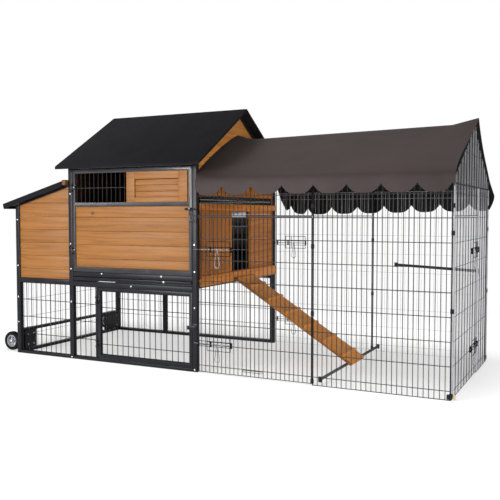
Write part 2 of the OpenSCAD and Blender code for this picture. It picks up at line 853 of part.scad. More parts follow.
// A folded sheet tray, open above, with a turned-down grip along its front
module dropping_tray() color(steel_colour) place() {
    low = lower_rail_top + runner_t + fit_gap;
    length = house_depth - door_y - tray_back;
    translate([tray_x + fit_gap, door_y, low]) difference() {
        cube([tray_w - 2 * fit_gap, length, tray_h]);
        translate([tray_t, tray_t, tray_t])
            cube([tray_w - 2 * fit_gap - 2 * tray_t, length - 2 * tray_t, tray_h]);
    }
    translate([tray_x + fit_gap, door_y - tray_lip, low + tray_h - tray_t])
        cube([tray_w - 2 * fit_gap, tray_lip + tray_t, tray_t]);
    translate([tray_x + fit_gap, door_y - tray_lip, low + tray_h / 2])
        cube([tray_w - 2 * fit_gap, tray_t, tray_h / 2]);
}

// Roof, as outlines in Y and Z

function roof_at(y, drop) = ridge_z - drop - abs(y - half_depth) * tan(roof_pitch);

// Everything that lies under a roof line dropped by the given amount, down to a level
module under_roof(drop, low) polygon([
    [half_depth - (ridge_z - drop - low) / tan(roof_pitch), low],
    [half_depth + (ridge_z - drop - low) / tan(roof_pitch), low],
    [half_depth, ridge_z - drop]]);

// Both slopes of the roof between two depths, drawn in from the eaves
module roof_slopes(top, under, edge) polygon([
    [edge - eave_over, roof_at(edge - eave_over, top)],
    [half_depth, ridge_z - top],
    [house_depth + eave_over - edge, roof_at(edge - eave_over, top)],
    [house_depth + eave_over - edge, roof_at(edge - eave_over, under)],
    [half_depth, ridge_z - under],
    [edge - eave_over, roof_at(edge - eave_over, under)]]);

// Felt over the roof boards, turned down round their edges
module roof_felt() color(felt_colour) place() difference() {
    crosswise(roof_x, roof_len) roof_slopes(0, felt_v + roof_v, 0);
    crosswise(roof_x + felt_t, roof_len - 2 * felt_t) roof_slopes(felt_v, felt_v + roof_v + cut_over, felt_t);
}

module roof_boards() color(shade_wood_colour) place() both_sides()
    crosswise(roof_x + felt_t + fit_gap, roof_len - 2 * felt_t - 2 * fit_gap) polygon([
        [felt_t + fit_gap - eave_over, roof_at(felt_t + fit_gap - eave_over, felt_v + fit_gap)],
        [half_depth - fit_gap, roof_at(half_depth - fit_gap, felt_v + fit_gap)],
        [half_depth - fit_gap, roof_at(half_depth - fit_gap, felt_v + roof_v)],
        [felt_t + fit_gap - eave_over, roof_at(felt_t + fit_gap - eave_over, felt_v + roof_v)]]);

roof_under = felt_v + roof_v + fit_gap;

// The boards of both gables, under the rafters and over the walls
module gable_boards() color(shade_wood_colour) place() {
    joint_z = lower_rail_top - wall_start + wall_rows * board_face;
    for (p = [[house_x + wall_set, 0], [wall_x, board_t]])
        difference() {
            crosswise(p[0], board_t) intersection() {
                under_roof(roof_under + rafter_v + fit_gap, top_rail_z);
                translate([inner_front, top_rail_z]) square([bay_depth, ridge_z - top_rail_z]);
            }
            cross_grooves([0, inner_front, joint_z], bay_depth, ridge_z - joint_z, p[0] + p[1]);
        }
}

// A pair of rafters over a gable, or with a skin the hollow inside them
module rafter_pair(x, skin) crosswise(x, tube) difference() {
    under_roof(roof_under + skin, post_h + fit_gap + skin);
    under_roof(roof_under + rafter_v - skin, 0);
}

// Folded steel rafters, open towards the inside of the house
module rafters() color(frame_colour) place() for (p = [[house_x, tube_wall], [post_c_x, -tube_wall]])
    difference() {
        rafter_pair(p[0], 0);
        rafter_pair(p[0] + p[1], tube_wall);
    }

// Front door

// A door frame folded from sheet, open at its back, with its openings given as [x, z, w, h]
module folded_frame(w, h, holes) difference() {
    upright(0, door_t) difference() {
        square([w, h]);
        for (o = holes)
            translate([o[0], o[1]]) square([o[2], o[3]]);
    }
    upright(sheet, door_t) difference() {
        translate([sheet, sheet]) square([w - 2 * sheet, h - 2 * sheet]);
        for (o = holes)
            translate([o[0] - sheet, o[1] - sheet]) square([o[2] + 2 * sheet, o[3] + 2 * sheet]);
    }
}

module front_door_frame() color(frame_colour) place() {
    opening_w = door_w - 2 * door_frame;
    bolt_z = door_z + door_bolt_share * door_h;
    guide_x = door_x + door_w - door_frame + groove / 2;
    translate([door_x, door_y, door_z]) folded_frame(door_w, door_h, [
        [door_frame, door_foot, opening_w, panel_top - panel_z],
        [door_frame, window_z - door_z, opening_w, window_h]]);
    for (z = [window_z - weld, window_z + window_h - shutter_lip])
        translate([door_x + door_frame - weld, door_y, z])
            cube([opening_w + 2 * weld, sheet, shutter_lip + weld]);
    for (s = door_hinge_shares)
        translate([door_axis_x, -hinge_out, door_z + s * door_h]) moving_knuckle(hinge_out + door_y);
    difference() {
        translate([guide_x, -door_bolt_out - door_bolt_d, bolt_z - door_guide_h / 2])
            cube([door_frame - groove, door_bolt_out + door_bolt_d + door_y + weld, door_guide_h]);
        translate([guide_x - cut_over, -door_bolt_out, bolt_z]) rotate([0, 90, 0])
            cylinder(h = door_frame + 2 * cut_over, d = door_bolt_d + 2 * run_gap);
    }
}

module front_door_panel() color(wood_colour) place() difference() {
    translate([door_x + door_frame + fit_gap, panel_y, panel_z + fit_gap])
        cube([door_w - 2 * door_frame - 2 * fit_gap, board_t, panel_top - panel_z - 2 * fit_gap]);
    board_grooves([door_x, 0, panel_z - panel_start], door_w, panel_top - panel_z + panel_start, panel_y);
}

module window_bars() color(wire_colour) place()
    translate([door_x + door_frame + fit_gap, bars_y, window_z + fit_gap]) wire_grid(
        door_w - 2 * door_frame - 2 * fit_gap, window_h - 2 * fit_gap, wire, bar_gap,
        [window_h / 2], bars_t);

// A framed wooden shutter with a sunk panel of boards
module window_shutter() color(wood_colour) place() {
    high = window_h - 2 * fit_gap;
    sunk_h = high - shutter_foot - shutter_head;
    shutter_x = door_x + door_w - door_frame - shutter_stop - shutter_w;
    translate([shutter_x, door_y + sheet + fit_gap, window_z + fit_gap])
        difference() {
            cube([shutter_w, shutter_t, high]);
            translate([shutter_stile, -cut_over, shutter_foot])
                cube([shutter_w - 2 * shutter_stile, cut_over + shutter_recess, sunk_h]);
            for (k = [1:2])
                translate([shutter_stile, shutter_recess - weld, shutter_foot + k * sunk_h / 3])
                    cube([shutter_w - 2 * shutter_stile, groove / 2, groove / 2]);
        }
}

module front_door_bolt() color(steel_colour) place()
    translate([post_c_x + door_bolt_reach, -door_bolt_out, door_z + door_bolt_share * door_h])
    rotate([0, -90, 0]) {
        cylinder(h = door_bolt_len, d = door_bolt_d);
        translate([0, 0, door_bolt_len - weld]) cylinder(h = door_knob_l, d = door_knob_d);
    }

// Lower door

module lower_door_frame() color(frame_colour) place() {
    stud_x = lower_x + lower_w - lower_frame / 2;
    stud_z = lower_z + button_share * lower_h;
    stud_l = button_t + 2 * fit_gap + cut_over;
    translate([lower_x, door_y, lower_z]) folded_frame(lower_w, lower_h, [
        [lower_frame, lower_frame, lower_w - 2 * lower_frame, lower_h - 2 * lower_frame]]);
    for (s = door_hinge_shares)
        translate([lower_axis_x, door_y - hinge_out, lower_z + s * lower_h]) moving_knuckle(hinge_out);
    translate([stud_x, door_y + weld, stud_z]) rotate([90, 0, 0]) {
        cylinder(h = weld + door_y + stud_l, d = hinge_pin_d);
        cylinder(h = weld + door_y + cut_over - fit_gap, d = button_head_d);
        translate([0, 0, weld + door_y + stud_l]) cylinder(h = cut_over, d = button_head_d);
    }
}

module lower_door_mesh() color(wire_colour) place()
    translate([lower_x + lower_frame + fit_gap, lower_mesh_y, lower_z + lower_frame + fit_gap])
        wire_grid(lower_w - 2 * lower_frame - 2 * fit_gap, lower_h - 2 * lower_frame - 2 * fit_gap, wire,
            lower_step, [for (s = lower_level_shares) s * (lower_h - 2 * lower_frame)], wire);

module lower_door_button() color(steel_colour) place()
    translate([lower_x + lower_w - lower_frame / 2, -cut_over - button_t, lower_z + button_share * lower_h])
        difference() {
            union() {
                translate([-button_back, 0, -button_h / 2])
                    cube([button_len - button_h / 2, button_t, button_h]);
                translate([button_len - button_back - button_h / 2, 0, 0]) rotate([-90, 0, 0])
                    cylinder(h = button_t, d = button_h);
            }
            translate([0, -cut_over, 0]) rotate([-90, 0, 0])
                cylinder(h = button_t + 2 * cut_over, d = hinge_pin_d + 2 * run_gap);
        }

// Pop door, ramp and their fittings

module pop_door_guides() color(wood_colour) place() {
    difference() {
        translate([wall_face, inner_front, lower_rail_top])
            cube([base_t, bay_depth, base_top - lower_rail_top]);
        translate([pop_door_x - fit_gap, inner_front - cut_over, base_top - pop_foot])
            cube([pop_door_t + 2 * fit_gap, bay_depth + 2 * cut_over, pop_foot + cut_over]);
    }
    translate([wall_face, inner_front, pop_top + fit_gap + pop_lip + groove / 2])
        cube([header_t, bay_depth, header_h]);
}

module pop_door_rail() color(steel_colour) place() {
    translate([wall_face, rail_y, pop_top - rail_h]) cube([rail_t, rail_end - rail_y, rail_h]);
    translate([wall_x + board_t / 2, inner_front + tube + fit_gap, vent_z + vent_h / 2]) rotate([-90, 0, 0])
        cylinder(h = bay_depth - 2 * tube - 2 * fit_gap, d = vent_rod_d);
}

// A stile-and-panel door of upright boards that hooks over its rail
module pop_door() color(wood_colour) place() {
    low = base_top - pop_foot + fit_gap;
    high = pop_top + fit_gap + pop_lip - low;
    board_w = (pop_door_w - 2 * pop_rim) / pop_boards;
    difference() {
        union() {
            translate([pop_door_x, pop_door_y, low]) cube([pop_door_t, pop_door_w, high]);
            translate([wall_face + fit_gap, pop_door_y, pop_top + fit_gap])
                cube([pop_door_x - wall_face, pop_door_w, pop_lip]);
        }
        translate([pop_door_x + pop_door_t - pop_recess, pop_door_y + pop_rim, low + pop_rim])
            cube([pop_recess + cut_over, pop_door_w - 2 * pop_rim, high - 2 * pop_rim]);
        for (k = [1:pop_boards - 1])
            translate([pop_door_x + pop_door_t - pop_recess - groove / 2, pop_door_y + pop_rim + k * board_w,
                low + pop_rim])
                cube([groove, groove, high - 2 * pop_rim]);
    }
}

module at_pivot() translate([ramp_x, ramp_y, ramp_z]) rotate([0, ramp_angle, 0]) children();

module ramp() color(wood_colour) place() at_pivot() difference() {
    union() {
        translate([0, 0, -ramp_t / 2]) cube([ramp_len, ramp_w, ramp_t]);
        rotate([-90, 0, 0]) cylinder(h = ramp_w, r = nose_r);
        for (k = [0:cleats - 1])
            translate([cleat_first + k * (ramp_len - 2 * cleat_first) / (cleats - 1), 0, ramp_t / 2 - weld])
                cube([cleat_w, ramp_w, cleat_h + weld]);
    }
    translate([0, -cut_over, 0]) rotate([-90, 0, 0])
        cylinder(h = ramp_w + 2 * cut_over, d = pivot_d + 2 * run_gap);
}

module ramp_pivot() color(frame_colour) place() {
    translate([ramp_x, ramp_y - lug_t - 2 * fit_gap, ramp_z]) rotate([-90, 0, 0])
        cylinder(h = ramp_w + 2 * lug_t + 4 * fit_gap, d = pivot_d);
    for (y = [ramp_y - lug_t - 2 * fit_gap, ramp_y + ramp_w + 2 * fit_gap])
        translate([wall_face + base_t, y, ramp_z - lug_h / 2]) cube([lug_l, lug_t, lug_h]);
}

// Wire panels under the house

module lower_mesh() color(wire_colour) place() {
    low = foot_h + fit_gap;
    high = nest_beam_z - foot_h - 2 * fit_gap;
    house_h = lower_rail_z - foot_h - 2 * fit_gap;
    side_w = nest_len - tube - 2 * fit_gap;
    house_w = house_len - 2 * tube - 2 * fit_gap;
    both_sides()
        translate([tube + fit_gap, lower_mesh_y, low])
            wire_grid(side_w, high, wire, lower_step, even_levels(high, 3), wire);
    translate([house_x + tube + fit_gap, lower_mesh_y, low])
        wire_grid(strip_w - 2 * fit_gap, house_h, wire, lower_step, even_levels(house_h, 3), wire);
    translate([house_x + tube + fit_gap, house_depth - lower_mesh_y, low])
        wire_grid(house_w, house_h, wire, lower_step, even_levels(house_h, 3), wire);
    translate([tube + wire + fit_gap, inner_front + fit_gap, fit_gap]) rotate([0, 0, 90])
        wire_grid(bay_depth - 2 * fit_gap, nest_beam_z - fit_gap, wire, lower_step, even_levels(nest_beam_z, 3),
            wire);
}

// Wire run

// The fixed panel of a long side, and the header over its gate
module long_panels() {
    translate([panel_x, 0, 0]) run_panel(panel_w, 0, panel_h, panel_levels);
    translate([gate_hinge_x - gate_w, 0, 0]) run_panel(gate_w, header_low, panel_h, header_levels);
}

module run_front_panel() color(wire_colour) place() long_panels();

module run_rear_panel() color(wire_colour) place() at_rear() long_panels();

// One slope of the end gable, from shoulder to peak, as [way up, hang] shares
slope_shares = [[0, 0], [1 / 3, 1 / 2], [2 / 3, 1], [1, 0]];

// The outline of the end gable, drawn in by the given edge
module gable_outline(edge) {
    rise = atan2(gable_peak - gable_shoulder, half_depth);
    slope = [for (s = slope_shares) [
        edge + s[0] * (half_depth - edge),
        gable_shoulder + s[0] * (gable_peak - gable_shoulder) - s[1] * gable_hang - edge / cos(rise)]];
    polygon(concat(
        [[house_depth - edge, gable_low + edge], [edge, gable_low + edge]],
        slope,
        [for (k = [len(slope) - 2:-1:0]) [house_depth - slope[k][0], slope[k][1]]]));
}

// The end wall of the run as seen from outside: X runs from the front corner to the rear one
module at_run_end() translate([run_end, 0, 0]) rotate([0, 0, 90]) children();

module run_end_panel() color(wire_colour) place() at_run_end() {
    gable_h = gable_peak - gable_low;
    translate([strip_y, 0, 0]) run_panel(strip_len, 0, panel_h, panel_levels);
    translate([rod_y, 0, 0]) run_panel(gate_w, header_low, panel_h, header_levels);
    upright(0, wire) difference() {
        gable_outline(0);
        intersection() {
            gable_outline(rod_d);
            translate([0, gable_low])
                grid_holes(house_depth, gable_h, wire, wire_step, [gable_h * gable_level_share]);
        }
    }
}

// A clip that holds two upright rods side by side
module rod_clip() difference() {
    translate([-clip_span / 2 - clip_edge, -clip_t / 2, -clip_h / 2])
        cube([clip_span + 2 * clip_edge, clip_t, clip_h]);
    for (x = [-clip_span / 2, clip_span / 2])
        translate([x, 0, -clip_h]) cylinder(h = 2 * clip_h, d = rod_d + 2 * run_gap);
}

module panel_clips() color("#17171a") place() both_sides() {
    for (k = mid_clip_rows)
        translate([run_mid, rod_y, low_level + k * level_step]) rod_clip();
    for (k = corner_clip_rows)
        translate([corner_x - clip_span / 2, rod_y, low_level + k * level_step]) rod_clip();
    for (x = [run_mid, corner_x - clip_span / 2], z = [foot_clip_z, head_clip_z])
        translate([x, rod_y, z]) rod_clip();
}

// A gate about its hinge rod at x = 0, with its outer face towards -Y and its free edge at gate_w
module gate() run_panel(gate_w, gate_low, gate_top, gate_levels);

// The wire cage of a slide bolt, welded to the outside of a gate, with three bored uprights
module bolt_cage() {
    cage_end = gate_w - rod_d / 2 - fit_gap;
    for (z = [-cage_h / 2, cage_h / 2])
        translate([gate_w - cage_len, -cage_bar, z - cage_bar / 2])
            cube([cage_end - gate_w + cage_len, cage_bar, cage_bar]);
    for (x = [cage_len, ear_mid, ear_near])
        difference() {
            translate([gate_w - x - ear_w / 2, -bolt_out - bolt_d, -cage_h / 2 - cage_bar / 2])
                cube([ear_w, bolt_out + bolt_d, cage_h + cage_bar]);
            translate([gate_w - x - ear_w, -bolt_out, 0]) rotate([0, 90, 0])
                cylinder(h = 2 * ear_w, d = bolt_d + 2 * run_gap);
        }
}

module gate_latches() for (z = [upper_bolt_z, lower_bolt_z])
    translate([0, 0, z]) bolt_cage();

// A drop-shaped outline: a small circle at the origin, a larger one under it, and what lies between
module drop_outline(top_r, foot_r, l) {
    lean = asin((foot_r - top_r) / l);
    polygon(concat(
        [for (k = [0:drop_steps]) let (a = lean + k * (180 - 2 * lean) / drop_steps)
            [top_r * cos(a), top_r * sin(a)]],
        [for (k = [0:drop_steps]) let (a = 180 - lean + k * (180 + 2 * lean) / drop_steps)
            [foot_r * cos(a), foot_r * sin(a) - l]]));
}

// A slide bolt with a hanging loop handle, its tip past the gate's free edge
module gate_bolt() translate([gate_w + bolt_reach, -bolt_out, 0]) {
    loop_l = loop_drop - loop_w / 2 + loop_wire - loop_top_r;
    translate([-bolt_len, 0, 0]) rotate([0, 90, 0]) cylinder(h = bolt_len, d = bolt_d);
    translate([-loop_back, -bolt_d / 2 - loop_wire / 2, loop_wire - loop_top_r]) upright(0, loop_wire)
        difference() {
            drop_outline(loop_top_r, loop_w / 2, loop_l);
            drop_outline(loop_top_r - loop_wire, loop_w / 2 - loop_wire, loop_l);
        }
}

module at_front_gate() translate([gate_hinge_x, 0, 0]) mirror([1, 0, 0]) children();
module at_rear_gate() translate([gate_hinge_x, house_depth, 0]) rotate([0, 0, 180]) children();
module at_end_gate() at_run_end() translate([rod_y, 0, 0]) children();

module front_gate() color(wire_colour) place() at_front_gate() gate();
module rear_gate() color(wire_colour) place() at_rear_gate() gate();
module end_gate() color(wire_colour) place() at_end_gate() gate();

module front_gate_latches() color(wire_colour) place() at_front_gate() gate_latches();
module rear_gate_latches() color(wire_colour) place() at_rear_gate() gate_latches();
module end_gate_latches() color(wire_colour) place() at_end_gate() gate_latches();

module front_gate_upper_bolt() color(wire_colour) place() at_front_gate()
    translate([0, 0, upper_bolt_z]) gate_bolt();
module front_gate_lower_bolt() color(wire_colour) place() at_front_gate()
    translate([0, 0, lower_bolt_z]) gate_bolt();
module rear_gate_upper_bolt() color(wire_colour) place() at_rear_gate()
    translate([0, 0, upper_bolt_z]) gate_bolt();
module rear_gate_lower_bolt() color(wire_colour) place() at_rear_gate()
    translate([0, 0, lower_bolt_z]) gate_bolt();
module end_gate_upper_bolt() color(wire_colour) place() at_end_gate()
    translate([0, 0, upper_bolt_z]) gate_bolt();
module end_gate_lower_bolt() color(wire_colour) place() at_end_gate()
    translate([0, 0, lower_bolt_z]) gate_bolt();

// Poles that carry the cover, and the rods inside the run

module cover_poles() color(frame_colour) place() {
    pole_z = cover_ridge_house - pole_drop - (cover_x - wall_face) * tan(pole_tilt);
    pole_l = (run_end - wire - wall_face - 4 * fit_gap) / cos(pole_tilt);
    translate([wall_face + 2 * fit_gap, half_depth, pole_z]) rotate([0, 90 - pole_tilt, 0])
        cylinder(h = pole_l, d = pole_d);
    both_sides()
        translate([house_end + fit_gap, eave_pole_y, eave_pole_z]) rotate([0, 90, 0])
            cylinder(h = run_len - wire - 2 * fit_gap, d = eave_pole_d);
}

module perch_rods() color(frame_colour) place() {
    spreader();
    corner_perch();
}

// A rod along Y that clamps between the front and the rear panels
module spreader() {
    inner = wire + rod_d / 2;
    translate([spreader_x, inner, spreader_z]) rotate([-90, 0, 0])
        cylinder(h = house_depth - 2 * inner, d = perch_d);
    both_sides()
        translate([spreader_x - clamp_w / 2, wire + fit_gap, spreader_z - clamp_h / 2])
            cube([clamp_w, clamp_t, clamp_h]);
}

// A rod across the rear corner, clamped to the rear panel and to the end panel
module corner_perch() {
    rear = [perch_x, house_depth - wire - fit_gap - clamp_t / 2];
    end = [run_end - wire - fit_gap - clamp_t / 2, perch_y];
    translate([rear[0], rear[1], perch_z]) rotate([0, 0, atan2(end[1] - rear[1], end[0] - rear[0])])
        translate([clamp_t / 2, 0, 0]) rotate([0, 90, 0]) cylinder(h = norm(end - rear) - clamp_t, d = perch_d);
    translate([rear[0] - clamp_w / 2, rear[1] - clamp_t / 2, perch_z - clamp_h / 2])
        cube([clamp_w, clamp_t, clamp_h]);
    translate([end[0] - clamp_t / 2, end[1] - clamp_w / 2, perch_z - clamp_h / 2])
        cube([clamp_t, clamp_w, clamp_h]);
}

// Cover: one closed sheet of cloth, from the front hem over the ridge to the rear hem

function cover_ridge(x) = x < kink_x
    ? cover_ridge_house + (x - cover_x) * tan(pole_tilt)
    : cover_ridge_end + (x - kink_x) / (cover_end - kink_x) * (cover_peak - cover_ridge_end);

// Height of a scalloped hem at its phase along the cover
function hem(phase, cusp) = cusp - scallop * (1 - pow(1 - abs(sin(180 * scallops * phase)), scallop_bow));

// One side of the cloth, from hem to ridge, as [distance from the middle, height] pairs
function cloth_side(share, cusp, phase) = let (
    x = cover_x + share * (cover_end - cover_x),
    out = half_depth + cover_out,
    low = hem(phase, cusp),
    top = cover_ridge(x),
    swell = cover_wave * pow(sin(180 * scallops * phase), 2),
    near = pow(max(0, 1 - (x - cover_x) / lift_len), 2),
    hang = end_sag * max(0, (x - kink_x) / (cover_end - kink_x)))
    concat(
        [for (k = [0:valance_rows - 1]) let (s = k / valance_rows)
            [out + (1 - s) * swell, low + s * (fold_z - low)]],
        [for (k = [0:slope_rows]) let (s = k / slope_rows)
            [out * (1 - s), fold_z + s * (top - fold_z) - (4 * cover_sag + 27 / 4 * hang * s) * s * (1 - s)
                + near * (house_lift * pow(abs(sin(180 * s)), lift_bow) + ridge_lift * s)]]);

// How far a point of the end edge is drawn in, or flares out at the rear corner
function end_shift(k, side) = k > valance_rows ? -end_draw * (1 - (k - valance_rows) / slope_rows)
    : k == 1 && side > 0 ? end_flare : -end_draw;

// The whole section at a share of the length, of the outer or the inner face, as points in the work frame
function cloth_section(share, inner) = let (
    lead = share + hem_lead / (cover_end - cover_x),
    front = cloth_side(share, front_cusp_z, lead),
    rear = cloth_side(share, rear_cusp_z, lead - rear_lag / scallops / cloth_steps),
    last = len(front) - 1)
    concat(
        [for (k = [0:last]) cloth_point(share, front[k], k, -1, inner)],
        [for (k = [last - 1:-1:0]) cloth_point(share, rear[k], k, 1, inner)]);

function cloth_point(share, p, k, side, inner) = let (
    x = cover_x + share * (cover_end - cover_x),
    pull = pow(max(0, (x - kink_x) / (cover_end - kink_x)), 2)) [
        x + pull * end_shift(k, side),
        half_depth + side * (p[0] - (k <= valance_rows ? inner * cover_t : 0)),
        p[1] - (k >= valance_rows ? inner * cover_t : 0)];

module cover() color(cloth_colour) place() {
    columns = scallops * cloth_steps;
    shares = concat([0], [for (i = [1:columns]) i / columns - hem_lead / (cover_end - cover_x)], [1]);
    spans = len(shares) - 1;
    sections = [for (s = shares) cloth_section(s, 0)];
    linings = [for (s = shares) cloth_section(s, 1)];
    rows = len(sections[0]);
    points = concat([for (s = sections) each s], [for (s = linings) each s]);
    back = rows * (spans + 1);
    outer = [for (i = [0:spans - 1], j = [0:rows - 2])
        let (a = i * rows + j, b = a + rows) each [[a, b, a + 1], [a + 1, b, b + 1]]];
    inner = [for (f = outer) [f[0] + back, f[2] + back, f[1] + back]];
    hems = [for (i = [0:spans - 1], j = [0, rows - 1])
        let (a = i * rows + j, b = a + rows, c = a + back, d = b + back)
            each (j == 0 ? [[a, c, b], [b, c, d]] : [[a, b, c], [b, d, c]])];
    ends = [for (i = [0, spans], j = [0:rows - 2])
        let (a = i * rows + j, b = a + 1, c = a + back, d = b + back)
            each (i == 0 ? [[a, b, c], [b, d, c]] : [[a, c, b], [b, c, d]])];
    polyhedron(points, concat(outer, inner, hems, ends));
}

posts();
bottom_rails();
floor_beams();
top_rails();
wheel_brackets();
wheel_axles();
front_tyre();
front_hub();
rear_tyre();
rear_hub();
nest_side_walls();
nest_end_wall();
nest_floor();
nest_batten();
nest_lid();
nest_lid_felt();
lid_hinge_leaves();
house_nest_wall();
house_rear_wall();
house_right_wall();
roost_bar();
dropping_tray();
gable_boards();
rafters();
roof_boards();
roof_felt();
front_door_frame();
front_door_panel();
window_bars();
window_shutter();
front_door_bolt();
lower_door_frame();
lower_door_mesh();
lower_door_button();
door_hinges();
pop_door_guides();
pop_door_rail();
pop_door();
ramp();
ramp_pivot();
lower_mesh();
run_front_panel();
run_rear_panel();
run_end_panel();
panel_clips();
front_gate();
front_gate_latches();
front_gate_upper_bolt();
front_gate_lower_bolt();
rear_gate();
rear_gate_latches();
rear_gate_upper_bolt();
rear_gate_lower_bolt();
end_gate();
end_gate_latches();
end_gate_upper_bolt();
end_gate_lower_bolt();
perch_rods();
cover_poles();
cover();
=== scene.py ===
import json
import math

import bpy
from mathutils import Matrix, Vector


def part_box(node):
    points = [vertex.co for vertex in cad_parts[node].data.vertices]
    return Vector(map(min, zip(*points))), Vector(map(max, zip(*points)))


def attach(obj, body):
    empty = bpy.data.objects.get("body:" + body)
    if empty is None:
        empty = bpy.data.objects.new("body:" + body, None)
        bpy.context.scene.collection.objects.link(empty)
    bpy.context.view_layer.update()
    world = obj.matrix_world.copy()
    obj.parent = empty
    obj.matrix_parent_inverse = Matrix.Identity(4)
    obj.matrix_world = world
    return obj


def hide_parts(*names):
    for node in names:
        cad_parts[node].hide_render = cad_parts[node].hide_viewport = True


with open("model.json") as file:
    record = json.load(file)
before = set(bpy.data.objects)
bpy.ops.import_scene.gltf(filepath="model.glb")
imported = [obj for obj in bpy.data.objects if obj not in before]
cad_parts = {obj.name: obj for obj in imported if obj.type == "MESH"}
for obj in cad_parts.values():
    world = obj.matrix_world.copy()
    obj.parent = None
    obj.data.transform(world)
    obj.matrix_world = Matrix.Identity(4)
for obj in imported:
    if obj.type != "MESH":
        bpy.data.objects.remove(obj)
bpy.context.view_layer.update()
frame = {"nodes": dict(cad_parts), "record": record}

# Camera: a normal lens at the height of the run's gates, in front of the run's far corner.
# Its place, turn and lens were fitted to the posts, rails and wires in the photograph.
camera_tilt = 0.049
camera_turn = 0.46
view = bpy.data.cameras.new("camera")
view.sensor_width = 36.0
view.lens = 51.92
camera = bpy.data.objects.new("camera", view)
camera.location = (2.20825, -4.270, 0.946)
camera.rotation_euler = (math.pi / 2 - camera_tilt, 0.0, camera_turn)
bpy.context.collection.objects.link(camera)
bpy.context.scene.camera = camera
bpy.context.scene.view_settings.view_transform = "Standard"


# Studio: a white surround, which the camera and reflections see as plain white, and a pale floor that keeps
# a soft shadow. Three soft lamps at the front left and the right light the object, a fourth only the floor.
def feed(tree, node, **sockets):
    """Gives each named input of a shader node a value, or the output that feeds it."""
    for key, value in sockets.items():
        target = node.inputs[int(key[2:]) if key[2:].isdigit() else key.replace("_", " ")]
        if isinstance(value, bpy.types.NodeSocket):
            tree.links.new(value, target)
        else:
            target.default_value = value


def put(tree, kind, settings=None, **sockets):
    """Adds a shader node with its settings and its inputs."""
    made = tree.nodes.new(kind)
    for key, value in (settings or {}).items():
        setattr(made, key, value)
    feed(tree, made, **sockets)
    return made


def seen_directly(tree):
    """1 for rays from the camera and those that mirror or pass through, 0 for the light itself."""
    path = put(tree, "ShaderNodeLightPath").outputs
    seen = path["Is Camera Ray"]
    for ray in ("Is Glossy Ray", "Is Transmission Ray"):
        seen = put(tree, "ShaderNodeMath", {"operation": "MAXIMUM"}, in0=seen, in1=path[ray]).outputs[0]
    return seen


def spread(tree, value, low, high, **more):
    """Maps a value onto a range."""
    return put(tree, "ShaderNodeMapRange", Value=value, To_Min=low, To_Max=high, **more).outputs[0]


white = (1.0, 1.0, 1.0, 1.0)
sky_fill = 0.26
sky = bpy.data.worlds.new("surround")
bpy.context.scene.world = sky
sky.use_nodes = True
sky_tree = sky.node_tree
sky_level = spread(sky_tree, seen_directly(sky_tree), sky_fill, 1.0)
feed(sky_tree, sky_tree.nodes["Background"], Color=white, Strength=sky_level)

floor_size = 60.0
floor_drop = 0.0015
floor_near = 1.5
floor_far = 3.6
floor_near_white = 0.56
bpy.ops.object.select_all(action="DESELECT")
bpy.ops.mesh.primitive_plane_add(size=floor_size, location=(0.0, 0.0, -floor_drop))
floor = bpy.context.object
floor.name = "floor"
floor_paint = bpy.data.materials.new("pale floor")
floor_paint.use_nodes = True
floor_tree = floor_paint.node_tree
floor_skin = floor_tree.nodes["Principled BSDF"]
feed(floor_tree, floor_skin, Base_Color=(0.86, 0.86, 0.86, 1.0), Roughness=0.9)
floor_glow = put(floor_tree, "ShaderNodeEmission", Color=white, Strength=1.0)
floor_place = put(floor_tree, "ShaderNodeTexCoord").outputs["Object"]
floor_reach = put(floor_tree, "ShaderNodeVectorMath", {"operation": "LENGTH"}, in0=floor_place)
floor_white = spread(floor_tree, floor_reach.outputs["Value"], floor_near_white, 1.0, From_Min=floor_near,
                     From_Max=floor_far)
floor_share = put(floor_tree, "ShaderNodeMath", {"operation": "MULTIPLY"}, in0=seen_directly(floor_tree),
                  in1=floor_white)
floor_mix = put(floor_tree, "ShaderNodeMixShader", Fac=floor_share.outputs[0], in1=floor_skin.outputs[0],
                in2=floor_glow.outputs[0])
feed(floor_tree, floor_tree.nodes["Material Output"], Surface=floor_mix.outputs[0])
floor.data.materials.append(floor_paint)

floor_only = bpy.data.collections.new("floor only")
floor_only.objects.link(floor)
for lamp_name, lamp_place, lamp_aim, lamp_size, lamp_power in (
        ("key", (-2.2, -6.0, 2.1), (0.0, 0.0, 0.7), 2.4, 330.0),
        ("strip", (-2.97, -5.57, 1.60), (0.0, -0.57, 1.2), 0.7, 75.0),
        ("side", (6.0, -2.0, 1.3), (0.1, 0.0, 0.8), 2.4, 190.0),
        ("floor lamp", (0.2, -0.8, 5.0), (0.2, 0.0, 0.0), 3.2, 420.0)):
    lamp_data = bpy.data.lights.new(lamp_name, "AREA")
    lamp_data.size = lamp_size
    lamp_data.energy = lamp_power
    lamp = bpy.data.objects.new(lamp_name, lamp_data)
    lamp.location = lamp_place
    lamp.rotation_euler = (Vector(lamp_aim) - Vector(lamp_place)).to_track_quat("-Z", "Y").to_euler()
    bpy.context.collection.objects.link(lamp)
    if lamp_name == "floor lamp":
        lamp.light_linking.receiver_collection = floor_only


# House frame: square steel tubes, powder coated in charcoal, cut to length and butted against the posts.
# The rails under the door leave the slot for the tray, and flat runners carry the tray from front to rear.
# The top rails and the door have lighter copies of the charcoal coat, a painted highlight for the glare on
# them.
def tones(tree, factor, *stops):
    """A colour ramp over a factor, from pairs of position and colour."""
    made = put(tree, "ShaderNodeValToRGB", Fac=factor)
    while len(made.color_ramp.elements) < len(stops):
        made.color_ramp.elements.new(0.5)
    for spot, (position, colour) in zip(made.color_ramp.elements, stops):
        spot.position = position
        spot.color = (*colour, 1.0)
    return made.outputs["Color"]


def shade(colour, level):
    """The colour made darker or lighter."""
    return tuple(level * channel for channel in colour)


